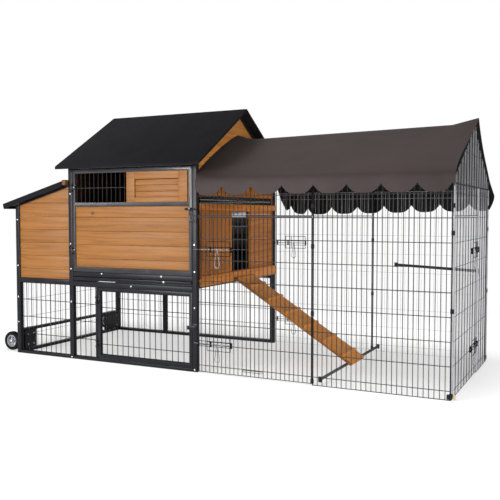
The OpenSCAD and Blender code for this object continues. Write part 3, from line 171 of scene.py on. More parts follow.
def noise(tree, place, scale, detail, **more):
    """The grey value of a noise texture."""
    return put(tree, "ShaderNodeTexNoise", Vector=place, Scale=scale, Detail=detail, **more).outputs["Fac"]


def relief(tree, height, strength, depth, **more):
    """A bump of a given depth."""
    return put(tree, "ShaderNodeBump", Height=height, Strength=strength, Distance=depth, **more).outputs[0]


def skin_of(name):
    """A new material: its node tree, its shader and the piece's own coordinates."""
    material = bpy.data.materials.new(name)
    material.use_nodes = True
    tree = material.node_tree
    return material, tree, tree.nodes["Principled BSDF"], put(tree, "ShaderNodeTexCoord").outputs["Object"]


def powder_coat(name, colour, low_rough, high_rough, gleam=0.3):
    """Baked powder: a faint cloud in its tone and the fine orange peel of its surface."""
    material, tree, skin, place = skin_of(name)
    cloud = noise(tree, place, 11.0, 5.0)
    tone = tones(tree, cloud, (0.3, shade(colour, 0.82)), (0.7, shade(colour, 1.2)))
    peel = relief(tree, noise(tree, place, 700.0, 2.0), 0.12, 0.0005)
    feed(tree, skin, Base_Color=tone, Roughness=spread(tree, cloud, low_rough, high_rough), Normal=peel,
         Specular_IOR_Level=gleam)
    return material


def take(piece):
    """Selects one piece alone and makes it the active one."""
    bpy.ops.object.select_all(action="DESELECT")
    piece.select_set(True)
    bpy.context.view_layer.objects.active = piece


def ease_edges(piece, width, rounds=2, angle=30.0):
    """Rounds a piece's sharp edges."""
    take(piece)
    ease = piece.modifiers.new("ease", "BEVEL")
    ease.width = width
    ease.segments = rounds
    ease.angle_limit = math.radians(angle)
    bpy.ops.object.modifier_apply(modifier=ease.name)
    return piece


def block(name, low, high, edge=0.001, rounds=2):
    """A block between two corners with its edges eased."""
    low, high = Vector(low), Vector(high)
    bpy.ops.object.select_all(action="DESELECT")
    bpy.ops.mesh.primitive_cube_add(size=1.0, location=(low + high) / 2)
    piece = bpy.context.object
    piece.name = name
    piece.scale = high - low
    bpy.ops.object.transform_apply(location=True, rotation=True, scale=True)
    return ease_edges(piece, edge, rounds)


def join(name, pieces):
    """Makes one object of several."""
    take(pieces[0])
    for piece in pieces:
        piece.select_set(True)
    if len(pieces) > 1:
        bpy.ops.object.join()
    pieces[0].name = name
    return pieces[0]


body_of = {node: body for body, nodes in frame["record"]["behaviour"]["bodies"].items() for node in nodes}


def seat(piece, node, material, smooth=35.0):
    """The piece stands for a CAD node: it takes the node's body and a finish, and the node is hidden."""
    take(piece)
    bpy.ops.object.shade_smooth_by_angle(angle=math.radians(smooth))
    piece.data.materials.clear()
    piece.data.materials.append(material)
    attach(piece, body_of[node])
    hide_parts(node)


def cut_above(piece, point, normal):
    """Saws off what lies over a plane and closes the cut."""
    take(piece)
    bpy.ops.object.mode_set(mode="EDIT")
    bpy.ops.mesh.select_all(action="SELECT")
    bpy.ops.mesh.bisect(plane_co=point, plane_no=normal, clear_outer=True, use_fill=True)
    bpy.ops.object.mode_set(mode="OBJECT")


def cut_out(piece, cutter):
    """Takes the cutter's shape out of the piece."""
    take(piece)
    hole = piece.modifiers.new("hole", "BOOLEAN")
    hole.object = cutter
    hole.solver = "EXACT"
    bpy.ops.object.modifier_apply(modifier=hole.name)
    bpy.data.objects.remove(cutter)


charcoal = powder_coat("charcoal powder coat", (0.0075, 0.0077, 0.0105), 0.28, 0.42, 0.15)
# Painted highlight: the coats of the top rails and the door are lighter copies of the charcoal, for glare.
rail_coat_painted_glare = powder_coat("charcoal coat with painted glare of the top rails", (0.050, 0.0455, 0.049), 0.19, 0.27, 0.32)
door_coat_painted_glare = powder_coat("charcoal coat with painted glare of the door", (0.024, 0.0225, 0.0245), 0.21, 0.30, 0.24)
tube = 0.032
tube_round = 0.0026
foot = 0.020
gap = 0.0003
cross_set = 0.0203
runner_w = 0.026
runner_t = 0.006
runner_in = 0.002
runner_front = 0.008
tray_slot = 0.030
thin_rail = 0.011
jamb_in = 0.178
jamb_w = 0.016
jamb_set = 0.002
jamb_back = 0.026
nest_wall_set = 0.008
lid_seat = 0.008
end_wall_rise = 0.010
x_nest, y_front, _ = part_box("posts")[0]
x_end, y_rear, post_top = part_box("posts")[1]
x_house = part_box("house_nest_wall")[0].x - nest_wall_set
x_right = x_end - tube
top_rail = post_top - tube
nest_post_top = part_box("nest_end_wall")[1].z - end_wall_rise
end_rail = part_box("wheel_brackets")[1].z - foot
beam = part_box("nest_floor")[0].z - tube
tray_low, tray_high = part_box("dropping_tray")
runner_z = tray_low.z - gap - runner_t
low_rail = runner_z - tube
front_beam = runner_z + tray_slot
jamb_x = x_house + tube + jamb_in
sides = (y_front, y_rear - tube)
bars = {"posts": [], "bottom_rails": [], "floor_beams": [], "top_rails": []}
for y in sides:
    for x, top in ((x_nest, nest_post_top), (x_house, post_top), (x_right, post_top)):
        bars["posts"].append(((x, y, 0.0), (x + tube, y + tube, top)))
    for name, x0, x1, z, height in (
            ("bottom_rails", x_nest, x_house, 0.0, foot), ("bottom_rails", x_house, x_right, 0.0, foot),
            ("floor_beams", x_nest, x_house, beam, tube), ("floor_beams", x_house, x_right, low_rail, tube),
            ("top_rails", x_house, x_right, top_rail, tube)):
        bars[name].append(((x0 + tube, y, z), (x1, y + tube, z + height)))
for name, x, z, height in (
        ("bottom_rails", x_nest, 0.0, foot), ("bottom_rails", x_nest, end_rail, foot),
        ("floor_beams", x_nest, beam, tube), ("floor_beams", x_house, beam, tube),
        ("floor_beams", x_right, runner_z - thin_rail, thin_rail),
        ("top_rails", x_house + cross_set, top_rail, tube),
        ("top_rails", x_right - cross_set, top_rail, tube)):
    bars[name].append(((x, y_front + tube + gap, z), (x + tube, y_rear - tube - gap, z + height)))
bars["floor_beams"].append(((x_house + tube, y_front, front_beam),
                            (x_right, y_front + tube, front_beam + tube)))
bars["bottom_rails"].append(((jamb_x, y_front + jamb_set, foot),
                             (jamb_x + jamb_w, y_front + jamb_back, low_rail)))
for x in (x_house + tube + runner_in, x_right - runner_in - runner_w):
    bars["floor_beams"].append(((x, y_front + runner_front, runner_z),
                                (x + runner_w, y_rear - cross_set, runner_z + runner_t)))
for name, members in bars.items():
    tubes = [block(name, low, high, min(tube_round, 0.4 * (high[2] - low[2])), 3) for low, high in members]
    seat(join(name + "_tubes", tubes), name, rail_coat_painted_glare if name == "top_rails" else charcoal)

lid_slope = math.radians(15.7)
lid_normal = Vector((-math.sin(lid_slope), 0.0, math.cos(lid_slope)))
lid_under = Vector((x_nest, 0.0, nest_post_top + lid_seat))
batten_low, batten_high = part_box("nest_batten")
bar_h = 0.025
bar_t = 0.003
spare = 0.05


def batten_notch():
    """A cutter for the notch that the batten lies in."""
    reach = Vector((0.02, spare, spare))
    return block("notch", batten_low - Vector((gap, spare, gap)), batten_high + reach, edge=0.0002, rounds=1)


nest_bars = []
for y in (y_front, y_rear - bar_t):
    under = lid_under - gap * lid_normal
    bar = block("nest_bar", (x_nest - spare, y, lid_under.z - bar_h - spare),
                (x_house, y + bar_t, batten_high.z + spare), edge=0.0002, rounds=1)
    cut_above(bar, under, lid_normal)
    cut_above(bar, under - Vector((0.0, 0.0, bar_h)), -lid_normal)
    cut_above(bar, (x_nest + tube, 0.0, 0.0), (-1.0, 0.0, 0.0))
    cut_out(bar, batten_notch())
    nest_bars.append(bar)
seat(join("nest_top_bars", nest_bars), "top_rails", charcoal)


# Screws: zinc plated pan heads that hold the panels and rails to the posts.
# They sit on the outer faces of the posts and of the beams over and under the tray.
def plated(name, colour, rough):
    """Bright metal with fine scratches in its gloss."""
    material, tree, skin, place = skin_of(name)
    haze = noise(tree, place, 180.0, 6.0)
    tone = tones(tree, haze, (0.3, shade(colour, 0.8)), (0.7, colour))
    feed(tree, skin, Metallic=1.0, Base_Color=tone, Roughness=spread(tree, haze, rough - 0.1, rough + 0.12))
    return material


def select_faces(piece, wanted):
    """Selects the faces that pass a test, and goes into edit mode."""
    take(piece)
    bpy.ops.object.mode_set(mode="EDIT")
    bpy.ops.mesh.select_mode(type="FACE")
    bpy.ops.mesh.select_all(action="DESELECT")
    bpy.ops.object.mode_set(mode="OBJECT")
    for face in piece.data.polygons:
        face.select = wanted(face)
    bpy.ops.object.mode_set(mode="EDIT")


def screw_head(place, normal, radius):
    """A low dome with a socket in its middle, its flat back on the given place."""
    bpy.ops.object.select_all(action="DESELECT")
    bpy.ops.mesh.primitive_cylinder_add(vertices=14, radius=radius, depth=0.5 * radius)
    head = bpy.context.object
    select_faces(head, lambda face: face.normal.z > 0.9)
    bpy.ops.mesh.bevel(offset=0.3 * radius, segments=2, affect="EDGES")
    bpy.ops.object.mode_set(mode="OBJECT")
    top = max(head.data.polygons, key=lambda face: (face.normal.z > 0.99, face.center.z)).index
    select_faces(head, lambda face: face.index == top)
    bpy.ops.mesh.inset(thickness=0.3 * radius)
    bpy.ops.mesh.extrude_region_move(TRANSFORM_OT_translate={"value": (0.0, 0.0, -0.25 * radius)})
    bpy.ops.object.mode_set(mode="OBJECT")
    turn = Vector(normal).to_track_quat("Z", "Y").to_matrix().to_4x4()
    head.data.transform(Matrix.Translation(Vector(place) + 0.25 * radius * Vector(normal)) @ turn)
    return head


def add_on(name, pieces, material, body):
    """A piece that only the scene has: it rides on a body and takes a finish."""
    piece = join(name, pieces)
    piece.data.materials.append(material)
    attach(piece, body)


zinc = plated("zinc plate", (0.62, 0.63, 0.65), 0.32)
to_front = (0.0, -1.0, 0.0)
screw_r = 0.0055
post_screws_z = ((x_nest, (0.912, 0.600, 0.384, 0.214)), (x_house, (1.081, 0.756, 0.592, 0.375, 0.011)),
                 (x_right, (0.766, 0.604, 0.387, 0.013)))
end_screws_z = (0.300, 0.532, 0.960)
beam_screws_z = front_beam + 0.77 * tube
screws = []
for y, out in ((y_front, to_front), (y_rear, (0.0, 1.0, 0.0))):
    for x, heights in post_screws_z:
        screws += [screw_head((x + tube / 2, y, z), out, screw_r) for z in heights]
for x_in, z in ((0.266, beam_screws_z), (0.718, beam_screws_z), (0.493, low_rail + tube / 2)):
    screws.append(screw_head((x_house + x_in, y_front, z), to_front, screw_r))
for y in sides:
    screws += [screw_head((x_nest, y + tube / 2, z), (-1.0, 0.0, 0.0), screw_r) for z in end_screws_z]
add_on("post_screws", screws, zinc, "house")


# Wheels: a grey moulded hub in a solid rubber tyre, on a bolt through a folded plate at the nest box end.
# Behind the two cross rails there, a wider steel plate with four bolts stiffens each corner.
def eased_copy(node, edge, rounds=2):
    """A copy of a CAD node with its coplanar facets merged and its sharp edges eased."""
    piece = bpy.data.objects.new(node + "_eased", frame["nodes"][node].data.copy())
    bpy.context.collection.objects.link(piece)
    take(piece)
    bpy.ops.object.mode_set(mode="EDIT")
    bpy.ops.mesh.select_all(action="SELECT")
    bpy.ops.mesh.remove_doubles(threshold=0.00001)
    bpy.ops.mesh.dissolve_limited(angle_limit=math.radians(0.5))
    bpy.ops.object.mode_set(mode="OBJECT")
    return ease_edges(piece, edge, rounds, 40.0)


def keep_shape(node, material, edge):
    """A node that keeps its CAD shape: eased edges and a finish."""
    seat(eased_copy(node, edge), node, material)


def moulded(name, colour, rough, grain, gleam=0.4):
    """Moulded plastic or rubber: a dull even skin with a fine grain."""
    material, tree, skin, place = skin_of(name)
    dust = noise(tree, place, 24.0, 6.0)
    tone = tones(tree, dust, (0.35, shade(colour, 0.8)), (0.75, shade(colour, 1.3)))
    pores = relief(tree, noise(tree, place, grain, 3.0), 0.25, 0.0006)
    feed(tree, skin, Base_Color=tone, Roughness=rough, Specular_IOR_Level=gleam, Normal=pores)
    return material


def tread_tyre(node):
    """A solid tyre: a rounded ring with raised blocks across its tread."""
    bead = 0.0421
    shoulder = 0.0055
    tread_floor = 0.0025
    block_gap = 0.0011
    block_rise = 0.0018
    low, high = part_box(node)
    radius = (high.z - low.z) / 2
    width = high.y - low.y
    profile = ((bead, -width / 2), (radius - shoulder, -width / 2), (radius - tread_floor, -0.3 * width),
               (radius - tread_floor, 0.3 * width), (radius - shoulder, width / 2), (bead, width / 2))
    bpy.ops.object.select_all(action="DESELECT")
    bpy.ops.mesh.primitive_circle_add(vertices=len(profile), radius=1.0)
    ring = bpy.context.object
    for corner, (reach, side) in zip(ring.data.vertices, profile):
        corner.co = (reach, side, 0.0)
    bpy.ops.object.mode_set(mode="EDIT")
    bpy.ops.mesh.select_all(action="SELECT")
    bpy.ops.mesh.spin(steps=40, angle=2.0 * math.pi, center=(0.0, 0.0, 0.0), axis=(0.0, 1.0, 0.0))
    bpy.ops.mesh.select_all(action="SELECT")
    bpy.ops.mesh.remove_doubles(threshold=0.00005)
    bpy.ops.mesh.normals_make_consistent(inside=False)
    bpy.ops.object.mode_set(mode="OBJECT")
    select_faces(ring, lambda face: math.hypot(face.center.x, face.center.z) > radius - shoulder)
    bpy.ops.mesh.inset(thickness=block_gap, use_individual=True)
    bpy.ops.mesh.extrude_faces_move(TRANSFORM_OT_shrink_fatten={"value": block_rise})
    bpy.ops.object.mode_set(mode="OBJECT")
    ease_edges(ring, 0.0006, 1)
    ring.data.transform(Matrix.Translation((low + high) / 2))
    ring.name = node + "_tread"
    return ring


tyre_rubber = moulded("tyre rubber", (0.006, 0.006, 0.0065), 0.9, 900.0, 0.12)
hub_plastic = moulded("grey hub plastic", (0.21, 0.22, 0.24), 0.45, 1200.0)
for end in ("front", "rear"):
    seat(tread_tyre(end + "_tyre"), end + "_tyre", tyre_rubber)
    keep_shape(end + "_hub", hub_plastic, edge=0.0008)
keep_shape("wheel_brackets", charcoal, edge=0.0008)
keep_shape("wheel_axles", zinc, edge=0.0008)

bolt_steel = plated("dull bolt steel", (0.30, 0.31, 0.33), 0.4)
plate_x = x_nest + tube + 0.0045
plate_t = 0.002
plate_in = 0.004
plate_over = 0.006
bolt_head_r = 0.007
bolts_z = (foot + 0.030, end_rail - 0.020)
plates = []
bolts = []
for corner_y, inward, plate_w, bolts_in in ((y_front + tube, 1.0, 0.110, (0.030, 0.085)),
                                            (y_rear - tube, -1.0, 0.200, (0.170, 0.035))):
    y0, y1 = sorted((corner_y + inward * plate_in, corner_y + inward * plate_w))
    plates.append(block("plate", (plate_x, y0, foot + plate_in),
                        (plate_x + plate_t, y1, end_rail + plate_over), edge=0.0006))
    bolts += [screw_head((plate_x + plate_t, corner_y + inward * y_in, z), (1.0, 0.0, 0.0), bolt_head_r)
              for y_in in bolts_in for z in bolts_z]
add_on("wheel_plates", plates, charcoal, "house")
add_on("wheel_plate_bolts", bolts, bolt_steel, "house")


# Nest box: tongued fir boards stained orange brown, in side walls that slope with the lid and an end wall.
# The boards are screwed into the posts from behind, so only their joints show.
def mix(tree, share, first, second, blend="MIX"):
    """Two colours mixed or multiplied by a share."""
    made = put(tree, "ShaderNodeMixRGB", {"blend_type": blend}, Fac=share, Color1=first, Color2=second)
    return made.outputs[0]


def fir(name, pale, deep, along, over, gleam=0.25):
    """Stained fir: growth lines along one axis, stacked over another, with knots, each board's tone, and
    painted shade on faces marked inside.
    """
    material, tree, skin, place = skin_of(name)
    board = put(tree, "ShaderNodeAttribute", {"attribute_name": "board"}).outputs["Fac"]
    inside = put(tree, "ShaderNodeAttribute", {"attribute_name": "inside"}).outputs["Fac"]
    shift = put(tree, "ShaderNodeVectorMath", {"operation": "SCALE"}, in0=(7.31, 5.17, 9.73), Scale=board)
    moved = put(tree, "ShaderNodeVectorMath", {"operation": "ADD"}, in0=place, in1=shift.outputs[0])

    def drawn_out(share):
        """The board's coordinates, with one axis shortened so that marks run along it."""
        scale = [share if axis == along else 1.0 for axis in "XYZ"]
        return put(tree, "ShaderNodeMapping", Vector=moved.outputs[0], Scale=scale).outputs[0]

    grain = drawn_out(0.055)
    lines = put(tree, "ShaderNodeTexWave", {"bands_direction": over}, Vector=grain, Scale=9.0,
                Distortion=14.0, Detail=4.0, Detail_Scale=1.6, Detail_Roughness=0.6).outputs["Fac"]
    fibre = noise(tree, grain, 300.0, 5.0, Roughness=0.7)
    cloud = noise(tree, grain, 26.0, 4.0, Roughness=0.6)
    knots = put(tree, "ShaderNodeTexVoronoi", Vector=drawn_out(0.45), Scale=3.1).outputs["Distance"]
    stain = tones(tree, lines, (0.0, deep), (0.22, shade(pale, 0.95)), (0.8, pale), (1.0, shade(pale, 1.03)))
    streak = tones(tree, fibre, (0.3, (0.84, 0.81, 0.78)), (0.62, (1.0, 1.0, 1.0)))
    stain = mix(tree, 0.6, stain, streak, "MULTIPLY")
    patch = tones(tree, cloud, (0.32, (0.86, 0.82, 0.78)), (0.68, (1.06, 1.06, 1.06)))
    stain = mix(tree, 0.8, stain, patch, "MULTIPLY")
    knot = tones(tree, knots, (0.022, (1.0, 1.0, 1.0)), (0.058, (0.0, 0.0, 0.0)))
    stain = mix(tree, knot, stain, (*shade(deep, 0.45), 1.0))
    tone = spread(tree, board, 0.93, 1.06)
    stain = put(tree, "ShaderNodeHueSaturation", Value=tone, Color=stain).outputs[0]
    # Painted shade: faces marked inside are drawn near black.
    stain = mix(tree, inside, stain, (*shade(deep, 0.075), 1.0))
    feed(tree, skin, Base_Color=stain, Roughness=spread(tree, fibre, 0.62, 0.42), Specular_IOR_Level=gleam,
         Normal=relief(tree, fibre, 0.16, 0.0005))
    return material


def mark(piece, name, values, domain="FACE"):
    """Stores a number for each face, or each point, that the piece's material reads."""
    piece.data.attributes.new(name, "FLOAT", domain).data.foreach_set("value", values)


def boards(name, low, high, over, face, start=0.0):
    """A wall of boards stacked over one axis, each a little apart, with a tone of its own."""
    board_edge = 0.0022
    half_joint = 0.0004
    least_board = 0.012
    axis = "XYZ".index(over)
    low, high = Vector(low), Vector(high)
    cuts = [low[axis]]
    while cuts[-1] < high[axis] - least_board:
        step = start if start and len(cuts) == 1 else face
        cuts.append(min(cuts[-1] + step, high[axis]))
    planks = []
    for number, (bottom, top) in enumerate(zip(cuts, cuts[1:])):
        plank_low, plank_high = low.copy(), high.copy()
        plank_low[axis] = bottom + half_joint
        plank_high[axis] = top - half_joint
        plank = block(name, plank_low, plank_high, board_edge)
        mark(plank, "board", [(0.37 + 0.618 * number) % 1.0] * len(plank.data.polygons))
        planks.append(plank)
    return join(name, planks)


def mark_painted_shade(piece, inward=None):
    """Marks the faces that look into the house, or all, for painted shade: the material draws them near
    black.
    """
    mark(piece, "inside", [float(inward is None or face.normal.dot(Vector(inward)) > 0.9)
                           for face in piece.data.polygons])
    return piece


stain_pale = (0.238, 0.097, 0.0205)
stain_deep = (0.190, 0.074, 0.0145)
front_fir = fir("stained fir along the house", stain_pale, stain_deep, "X", "Z")
end_fir = fir("stained fir across the house", stain_pale, stain_deep, "Y", "Z")
# Painted shade: the batten's stain is half as light as the front's, for the shade under the lid.
batten_fir_painted_shade = fir("stained fir of the batten with painted shade", shade(stain_pale, 0.5), shade(stain_deep, 0.5), "Y", "Z")
board_t = 0.012
board_face = 0.088
nest_first = 0.065
lid_clear = 0.0036
wall_spare = 0.02
wall_low, wall_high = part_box("nest_side_walls")
nest_walls = []
for y, inward in ((wall_low.y, 1.0), (wall_high.y - board_t, -1.0)):
    wall = boards("nest_wall", (wall_low.x, y, wall_low.z),
                  (wall_high.x, y + board_t, wall_high.z + wall_spare), "Z", board_face, nest_first)
    cut_above(wall, lid_under - lid_clear * lid_normal, lid_normal)
    cut_out(wall, batten_notch())
    # Painted shade: the faces of the side walls towards the nests are drawn near black.
    nest_walls.append(mark_painted_shade(wall, (0.0, inward, 0.0)))
seat(join("nest_side_boards", nest_walls), "nest_side_walls", front_fir)
end_wall = boards("nest_end_boards", *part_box("nest_end_wall"), "Z", board_face, nest_first)
seat(end_wall, "nest_end_wall", end_fir)
# Painted shade: the nest floor is drawn near black all over.
seat(mark_painted_shade(eased_copy("nest_floor", edge=0.0008)), "nest_floor", end_fir)
keep_shape("nest_batten", batten_fir_painted_shade, edge=0.0025)


# Nest lid: wide boards under mineral felt, whose edges are turned down round the boards.
# Three steel hinges join it to the batten on the house posts.
def mineral_felt(name, colour):
    """Roofing felt: pitch black bitumen under fine slate grit that sparkles a little."""
    material, tree, skin, place = skin_of(name)
    grit = noise(tree, place, 420.0, 3.0, Roughness=0.75)
    cloud = noise(tree, place, 4.5, 6.0, Roughness=0.65)
    speck = put(tree, "ShaderNodeTexVoronoi", Vector=place, Scale=360.0).outputs["Distance"]
    base = tones(tree, grit, (0.3, shade(colour, 0.45)), (0.55, colour), (0.78, shade(colour, 2.6)))
    worn = tones(tree, cloud, (0.3, (0.8, 0.8, 0.82)), (0.72, (1.25, 1.25, 1.25)))
    base = mix(tree, 1.0, base, worn, "MULTIPLY")
    rough = spread(tree, speck, 0.55, 0.95, From_Max=0.7)
    feed(tree, skin, Base_Color=base, Roughness=rough, Specular_IOR_Level=0.07,
         Normal=relief(tree, grit, 0.55, 0.0016))
    return material


felt = mineral_felt("mineral felt", (0.0085, 0.0085, 0.0105))
lid_fir_painted_shade = fir("stained fir of the lid under painted shade", stain_pale, stain_deep, "Y", "X")
lid_t = 0.016
lid_face = 0.131
lid_tuck = 0.0048
lid_side = 0.0005
lid_low, lid_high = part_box("nest_lid")
lid_len = (lid_high.x - lid_low.x) / math.cos(lid_slope)
lid_tip = Vector((lid_low.x, 0.0, lid_low.z))


def on_slope(piece):
    """Turns a piece that was made level about the lid's low edge."""
    turn = Matrix.Rotation(-lid_slope, 4, "Y")
    piece.data.transform(Matrix.Translation(lid_tip) @ turn @ Matrix.Translation(-lid_tip))
    return piece


lid = boards("nest_lid_boards", (lid_tip.x + lid_tuck, lid_low.y + lid_side, lid_tip.z + gap),
             (lid_tip.x + lid_len - lid_side, lid_high.y - lid_side, lid_tip.z + lid_t - gap), "X", lid_face)
# Painted shade: the lid's boards are drawn near black all over, for the shade under the felt.
seat(on_slope(mark_painted_shade(lid)), "nest_lid", lid_fir_painted_shade)

skirt_t = 0.002
skirt_drop = 0.016
skirt_lap = 0.0005
felt_low, felt_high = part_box("nest_lid_felt")
lid_felt = [eased_copy("nest_lid_felt", edge=0.0016)]
for reach, y0, y1 in ((lid_len, felt_low.y - skirt_t, felt_low.y),
                      (lid_len, felt_high.y, felt_high.y + skirt_t),
                      (skirt_lap, felt_low.y, felt_high.y)):
    skirt = block("skirt", (lid_tip.x - skirt_t, y0, lid_tip.z - skirt_drop),
                  (lid_tip.x + reach, y1, lid_tip.z + lid_t), edge=0.0006)
    lid_felt.append(on_slope(skirt))
seat(join("nest_lid_felt_sheet", lid_felt), "nest_lid_felt", felt)
keep_shape("lid_hinge_leaves", zinc, edge=0.0006)

# House walls: the same boards on the rear and right sides, inner boards towards the nests, and a roost bar.
# The right wall has the pop hole and the vent slot sawn through it. Its stain is painted lighter than the
# front's, as painted light on a side that gets less light. Faces that look into the house, the inner boards
# towards the nests and the roost bar carry painted shade, near black.
# Painted light: these two stains are lighter copies of the front's stain.
painted_light_pale = (0.445, 0.158, 0.027)
painted_light_deep = (0.33, 0.108, 0.017)
wall_fir_painted_light = fir("stained fir of the end walls with painted light", painted_light_pale, painted_light_deep, "Y", "Z", 0.10)
house_first = 0.082
hole_y = y_front + 0.440
hole_w = 0.282
hole_z = front_beam + tube + 0.003
hole_top = hole_z + 0.388
vent_z = hole_top + 0.0473
vent_h = 0.048
vent_in = 0.004
saw_over = 0.01
rear_wall = boards("house_rear_boards", *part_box("house_rear_wall"), "Z", board_face, house_first)
seat(mark_painted_shade(rear_wall, (0.0, -1.0, 0.0)), "house_rear_wall", front_fir)
right_low, right_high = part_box("house_right_wall")
right_wall = boards("house_right_boards", right_low, right_high, "Z", board_face, house_first)
for y0, y1, z0, z1 in ((hole_y, hole_y + hole_w, hole_z, hole_top),
                       (right_low.y + vent_in, right_high.y - vent_in, vent_z, vent_z + vent_h)):
    cut_out(right_wall, block("opening", (right_low.x - saw_over, y0, z0), (right_high.x + saw_over, y1, z1),
                              edge=0.0002))
seat(mark_painted_shade(right_wall, (-1.0, 0.0, 0.0)), "house_right_wall", wall_fir_painted_light)
seat(mark_painted_shade(eased_copy("house_nest_wall", edge=0.0004)), "house_nest_wall", wall_fir_painted_light)
seat(mark_painted_shade(eased_copy("roost_bar", edge=0.004, rounds=3)), "roost_bar", front_fir)

# Gables: boards that close the house over the top rails, sawn to the roof's slopes.
# Folded steel rafters lie over them, under the roof boards.
# Painted light: the gables' stain is about twice as light as the front's; their inner faces carry painted
# shade.
gable_fir_painted_light = fir("stained fir of the gables with painted light", shade(stain_pale, 2.1), shade(stain_deep, 2.1), "Y", "Z", 0.10)
gable_first = 0.057
felt_turn = 0.0187
roof_low, roof_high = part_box("roof_felt")
pitch = math.atan2(roof_high.z - roof_low.z - felt_turn, (roof_high.y - roof_low.y) / 2)
gable_low, gable_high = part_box("gable_boards")
gables = []
for x, inward in ((gable_low.x, 1.0), (gable_high.x - board_t, -1.0)):
    gable = boards("gable", (x, gable_low.y, gable_low.z), (x + board_t, gable_high.y, gable_high.z),
                   "Z", board_face, gable_first)
    for side in (-1.0, 1.0):
        cut_above(gable, (0.0, 0.0, gable_high.z), (0.0, side * math.sin(pitch), math.cos(pitch)))
    gables.append(mark_painted_shade(gable, (inward, 0.0, 0.0)))
seat(join("gable_wall_boards", gables), "gable_boards", gable_fir_painted_light)
keep_shape("rafters", charcoal, edge=0.0012)

# House roof: two slopes of boards, taken to be stained black on their undersides, under one sheet of mineral
# felt that is folded over the ridge and turned down round the eaves and verges.
black_boards = fir("near black roof boards", (0.020, 0.019, 0.019), (0.012, 0.011, 0.011), "X", "Y")
keep_shape("roof_boards", black_boards, edge=0.001)
keep_shape("roof_felt", felt, edge=0.0016)

# Front door: a leaf folded from steel sheet, with boards below and a barred window above, and a wooden
# shutter that slides between its lips. Two hinges carry it and a slide bolt holds it.
door_first = 0.057
door_low, door_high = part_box("front_door_panel")
# Painted highlight: the door frame's coat is lighter than the charcoal, for the glare on it.
keep_shape("front_door_frame", door_coat_painted_glare, edge=0.0005)
door_boards = boards("front_door_boards", door_low, door_high, "Z", board_face, door_first)
seat(door_boards, "front_door_panel", front_fir)
keep_shape("front_door_bolt", charcoal, edge=0.0008)
keep_shape("door_hinges", charcoal, edge=0.0006)

stile = 0.062
shutter_head = 0.050
shutter_sill = 0.034
recess = 0.005
panel_lap = 0.002
shadow_gap = 0.003
stop_gap = 0.007
stop_w = 0.0048
shutter_low, shutter_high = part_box("window_shutter")
panel_low = shutter_low + Vector((stile, 0.0, shutter_sill))
panel_high = shutter_high - Vector((stile, 0.0, shutter_head))
rail_front = shutter_low.y + 0.0002
shutter = []
for x in (shutter_low.x, panel_high.x):
    shutter.append(block("stile", (x, shutter_low.y, shutter_low.z),
                         (x + stile, shutter_high.y, shutter_high.z), edge=0.0014))
for z0, z1 in ((shutter_low.z, panel_low.z), (panel_high.z, shutter_high.z)):
    shutter.append(block("rail", (panel_low.x, rail_front, z0), (panel_high.x, shutter_high.y, z1),
                         edge=0.0012))
for piece, tone in zip(shutter, (0.2, 0.7, 0.45, 0.95)):
    mark(piece, "board", [tone] * len(piece.data.polygons))
panel_board = (panel_high.z - panel_low.z + 2 * panel_lap) / 3
shutter.append(boards("shutter_panel", panel_low + Vector((shadow_gap, recess, -panel_lap)),
                      panel_high + Vector((panel_lap, -0.0005, -shadow_gap)), "Z", panel_board))
seat(join("window_shutter_boards", shutter), "window_shutter", front_fir)
stop_x = shutter_high.x + stop_gap
stop = block("stop", (stop_x, shutter_low.y, shutter_low.z),
             (stop_x + stop_w, shutter_high.y, shutter_high.z), edge=0.0008)
add_on("shutter_stop", [stop], front_fir, body_of["front_door_frame"])

# Knot and ring: an oval knot that shows dark in the door's top board, and a steel ring that stands out
# from the right post below the door's bolt.
knot_r = 0.013
knot_t = 0.0006
knot_fir = fir("knot in the door board", (0.100, 0.042, 0.013), (0.060, 0.024, 0.008), "X", "Z")
knot_place = (door_low.x + 0.138, door_low.y - 0.0001, door_high.z - 0.042)
bpy.ops.object.select_all(action="DESELECT")
bpy.ops.mesh.primitive_cylinder_add(vertices=20, radius=knot_r, depth=knot_t,
                                    rotation=(math.pi / 2, 0.0, 0.0))
knot = bpy.context.object
bpy.ops.object.transform_apply(location=True, rotation=True, scale=True)
knot.data.transform(Matrix.Translation(knot_place) @ Matrix.Diagonal((1.25, 1.0, 0.85, 1.0)))
add_on("door_knot", [knot], knot_fir, body_of["front_door_panel"])

ring_r = 0.022
ring_wire_r = 0.0024
ring_place = (x_right + tube / 2 - 0.006, y_front - 0.0250, 0.925)
ring_steel = plated("dark ring steel", (0.22, 0.22, 0.24), 0.35)
bpy.ops.object.select_all(action="DESELECT")
bpy.ops.mesh.primitive_torus_add(major_radius=ring_r, minor_radius=ring_wire_r, major_segments=24,
                                 minor_segments=8, rotation=(0.0, math.pi / 2, 0.0))
ring = bpy.context.object
bpy.ops.object.transform_apply(location=True, rotation=True, scale=True)
ring.data.transform(Matrix.Translation(ring_place))
add_on("bolt_ring", [ring], ring_steel, "house")


# Window and lower run: steel wires welded into grids and powder coated, in the window, in the lower door's
# steel frame and between the posts under the house. The rear wires and the left uprights have pale coats,
# a painted highlight for light on wires that are as black as the front ones.
def round_bar(start, end, radius, sides=6):
    """A round bar between two points."""
    start, end = Vector(start), Vector(end)
    bpy.ops.object.select_all(action="DESELECT")
    bpy.ops.mesh.primitive_cylinder_add(vertices=sides, radius=radius, depth=(end - start).length)
    bar = bpy.context.object
    turn = (end - start).to_track_quat("Z", "Y").to_matrix().to_4x4()
    bar.data.transform(Matrix.Translation((start + end) / 2) @ turn)
    return bar


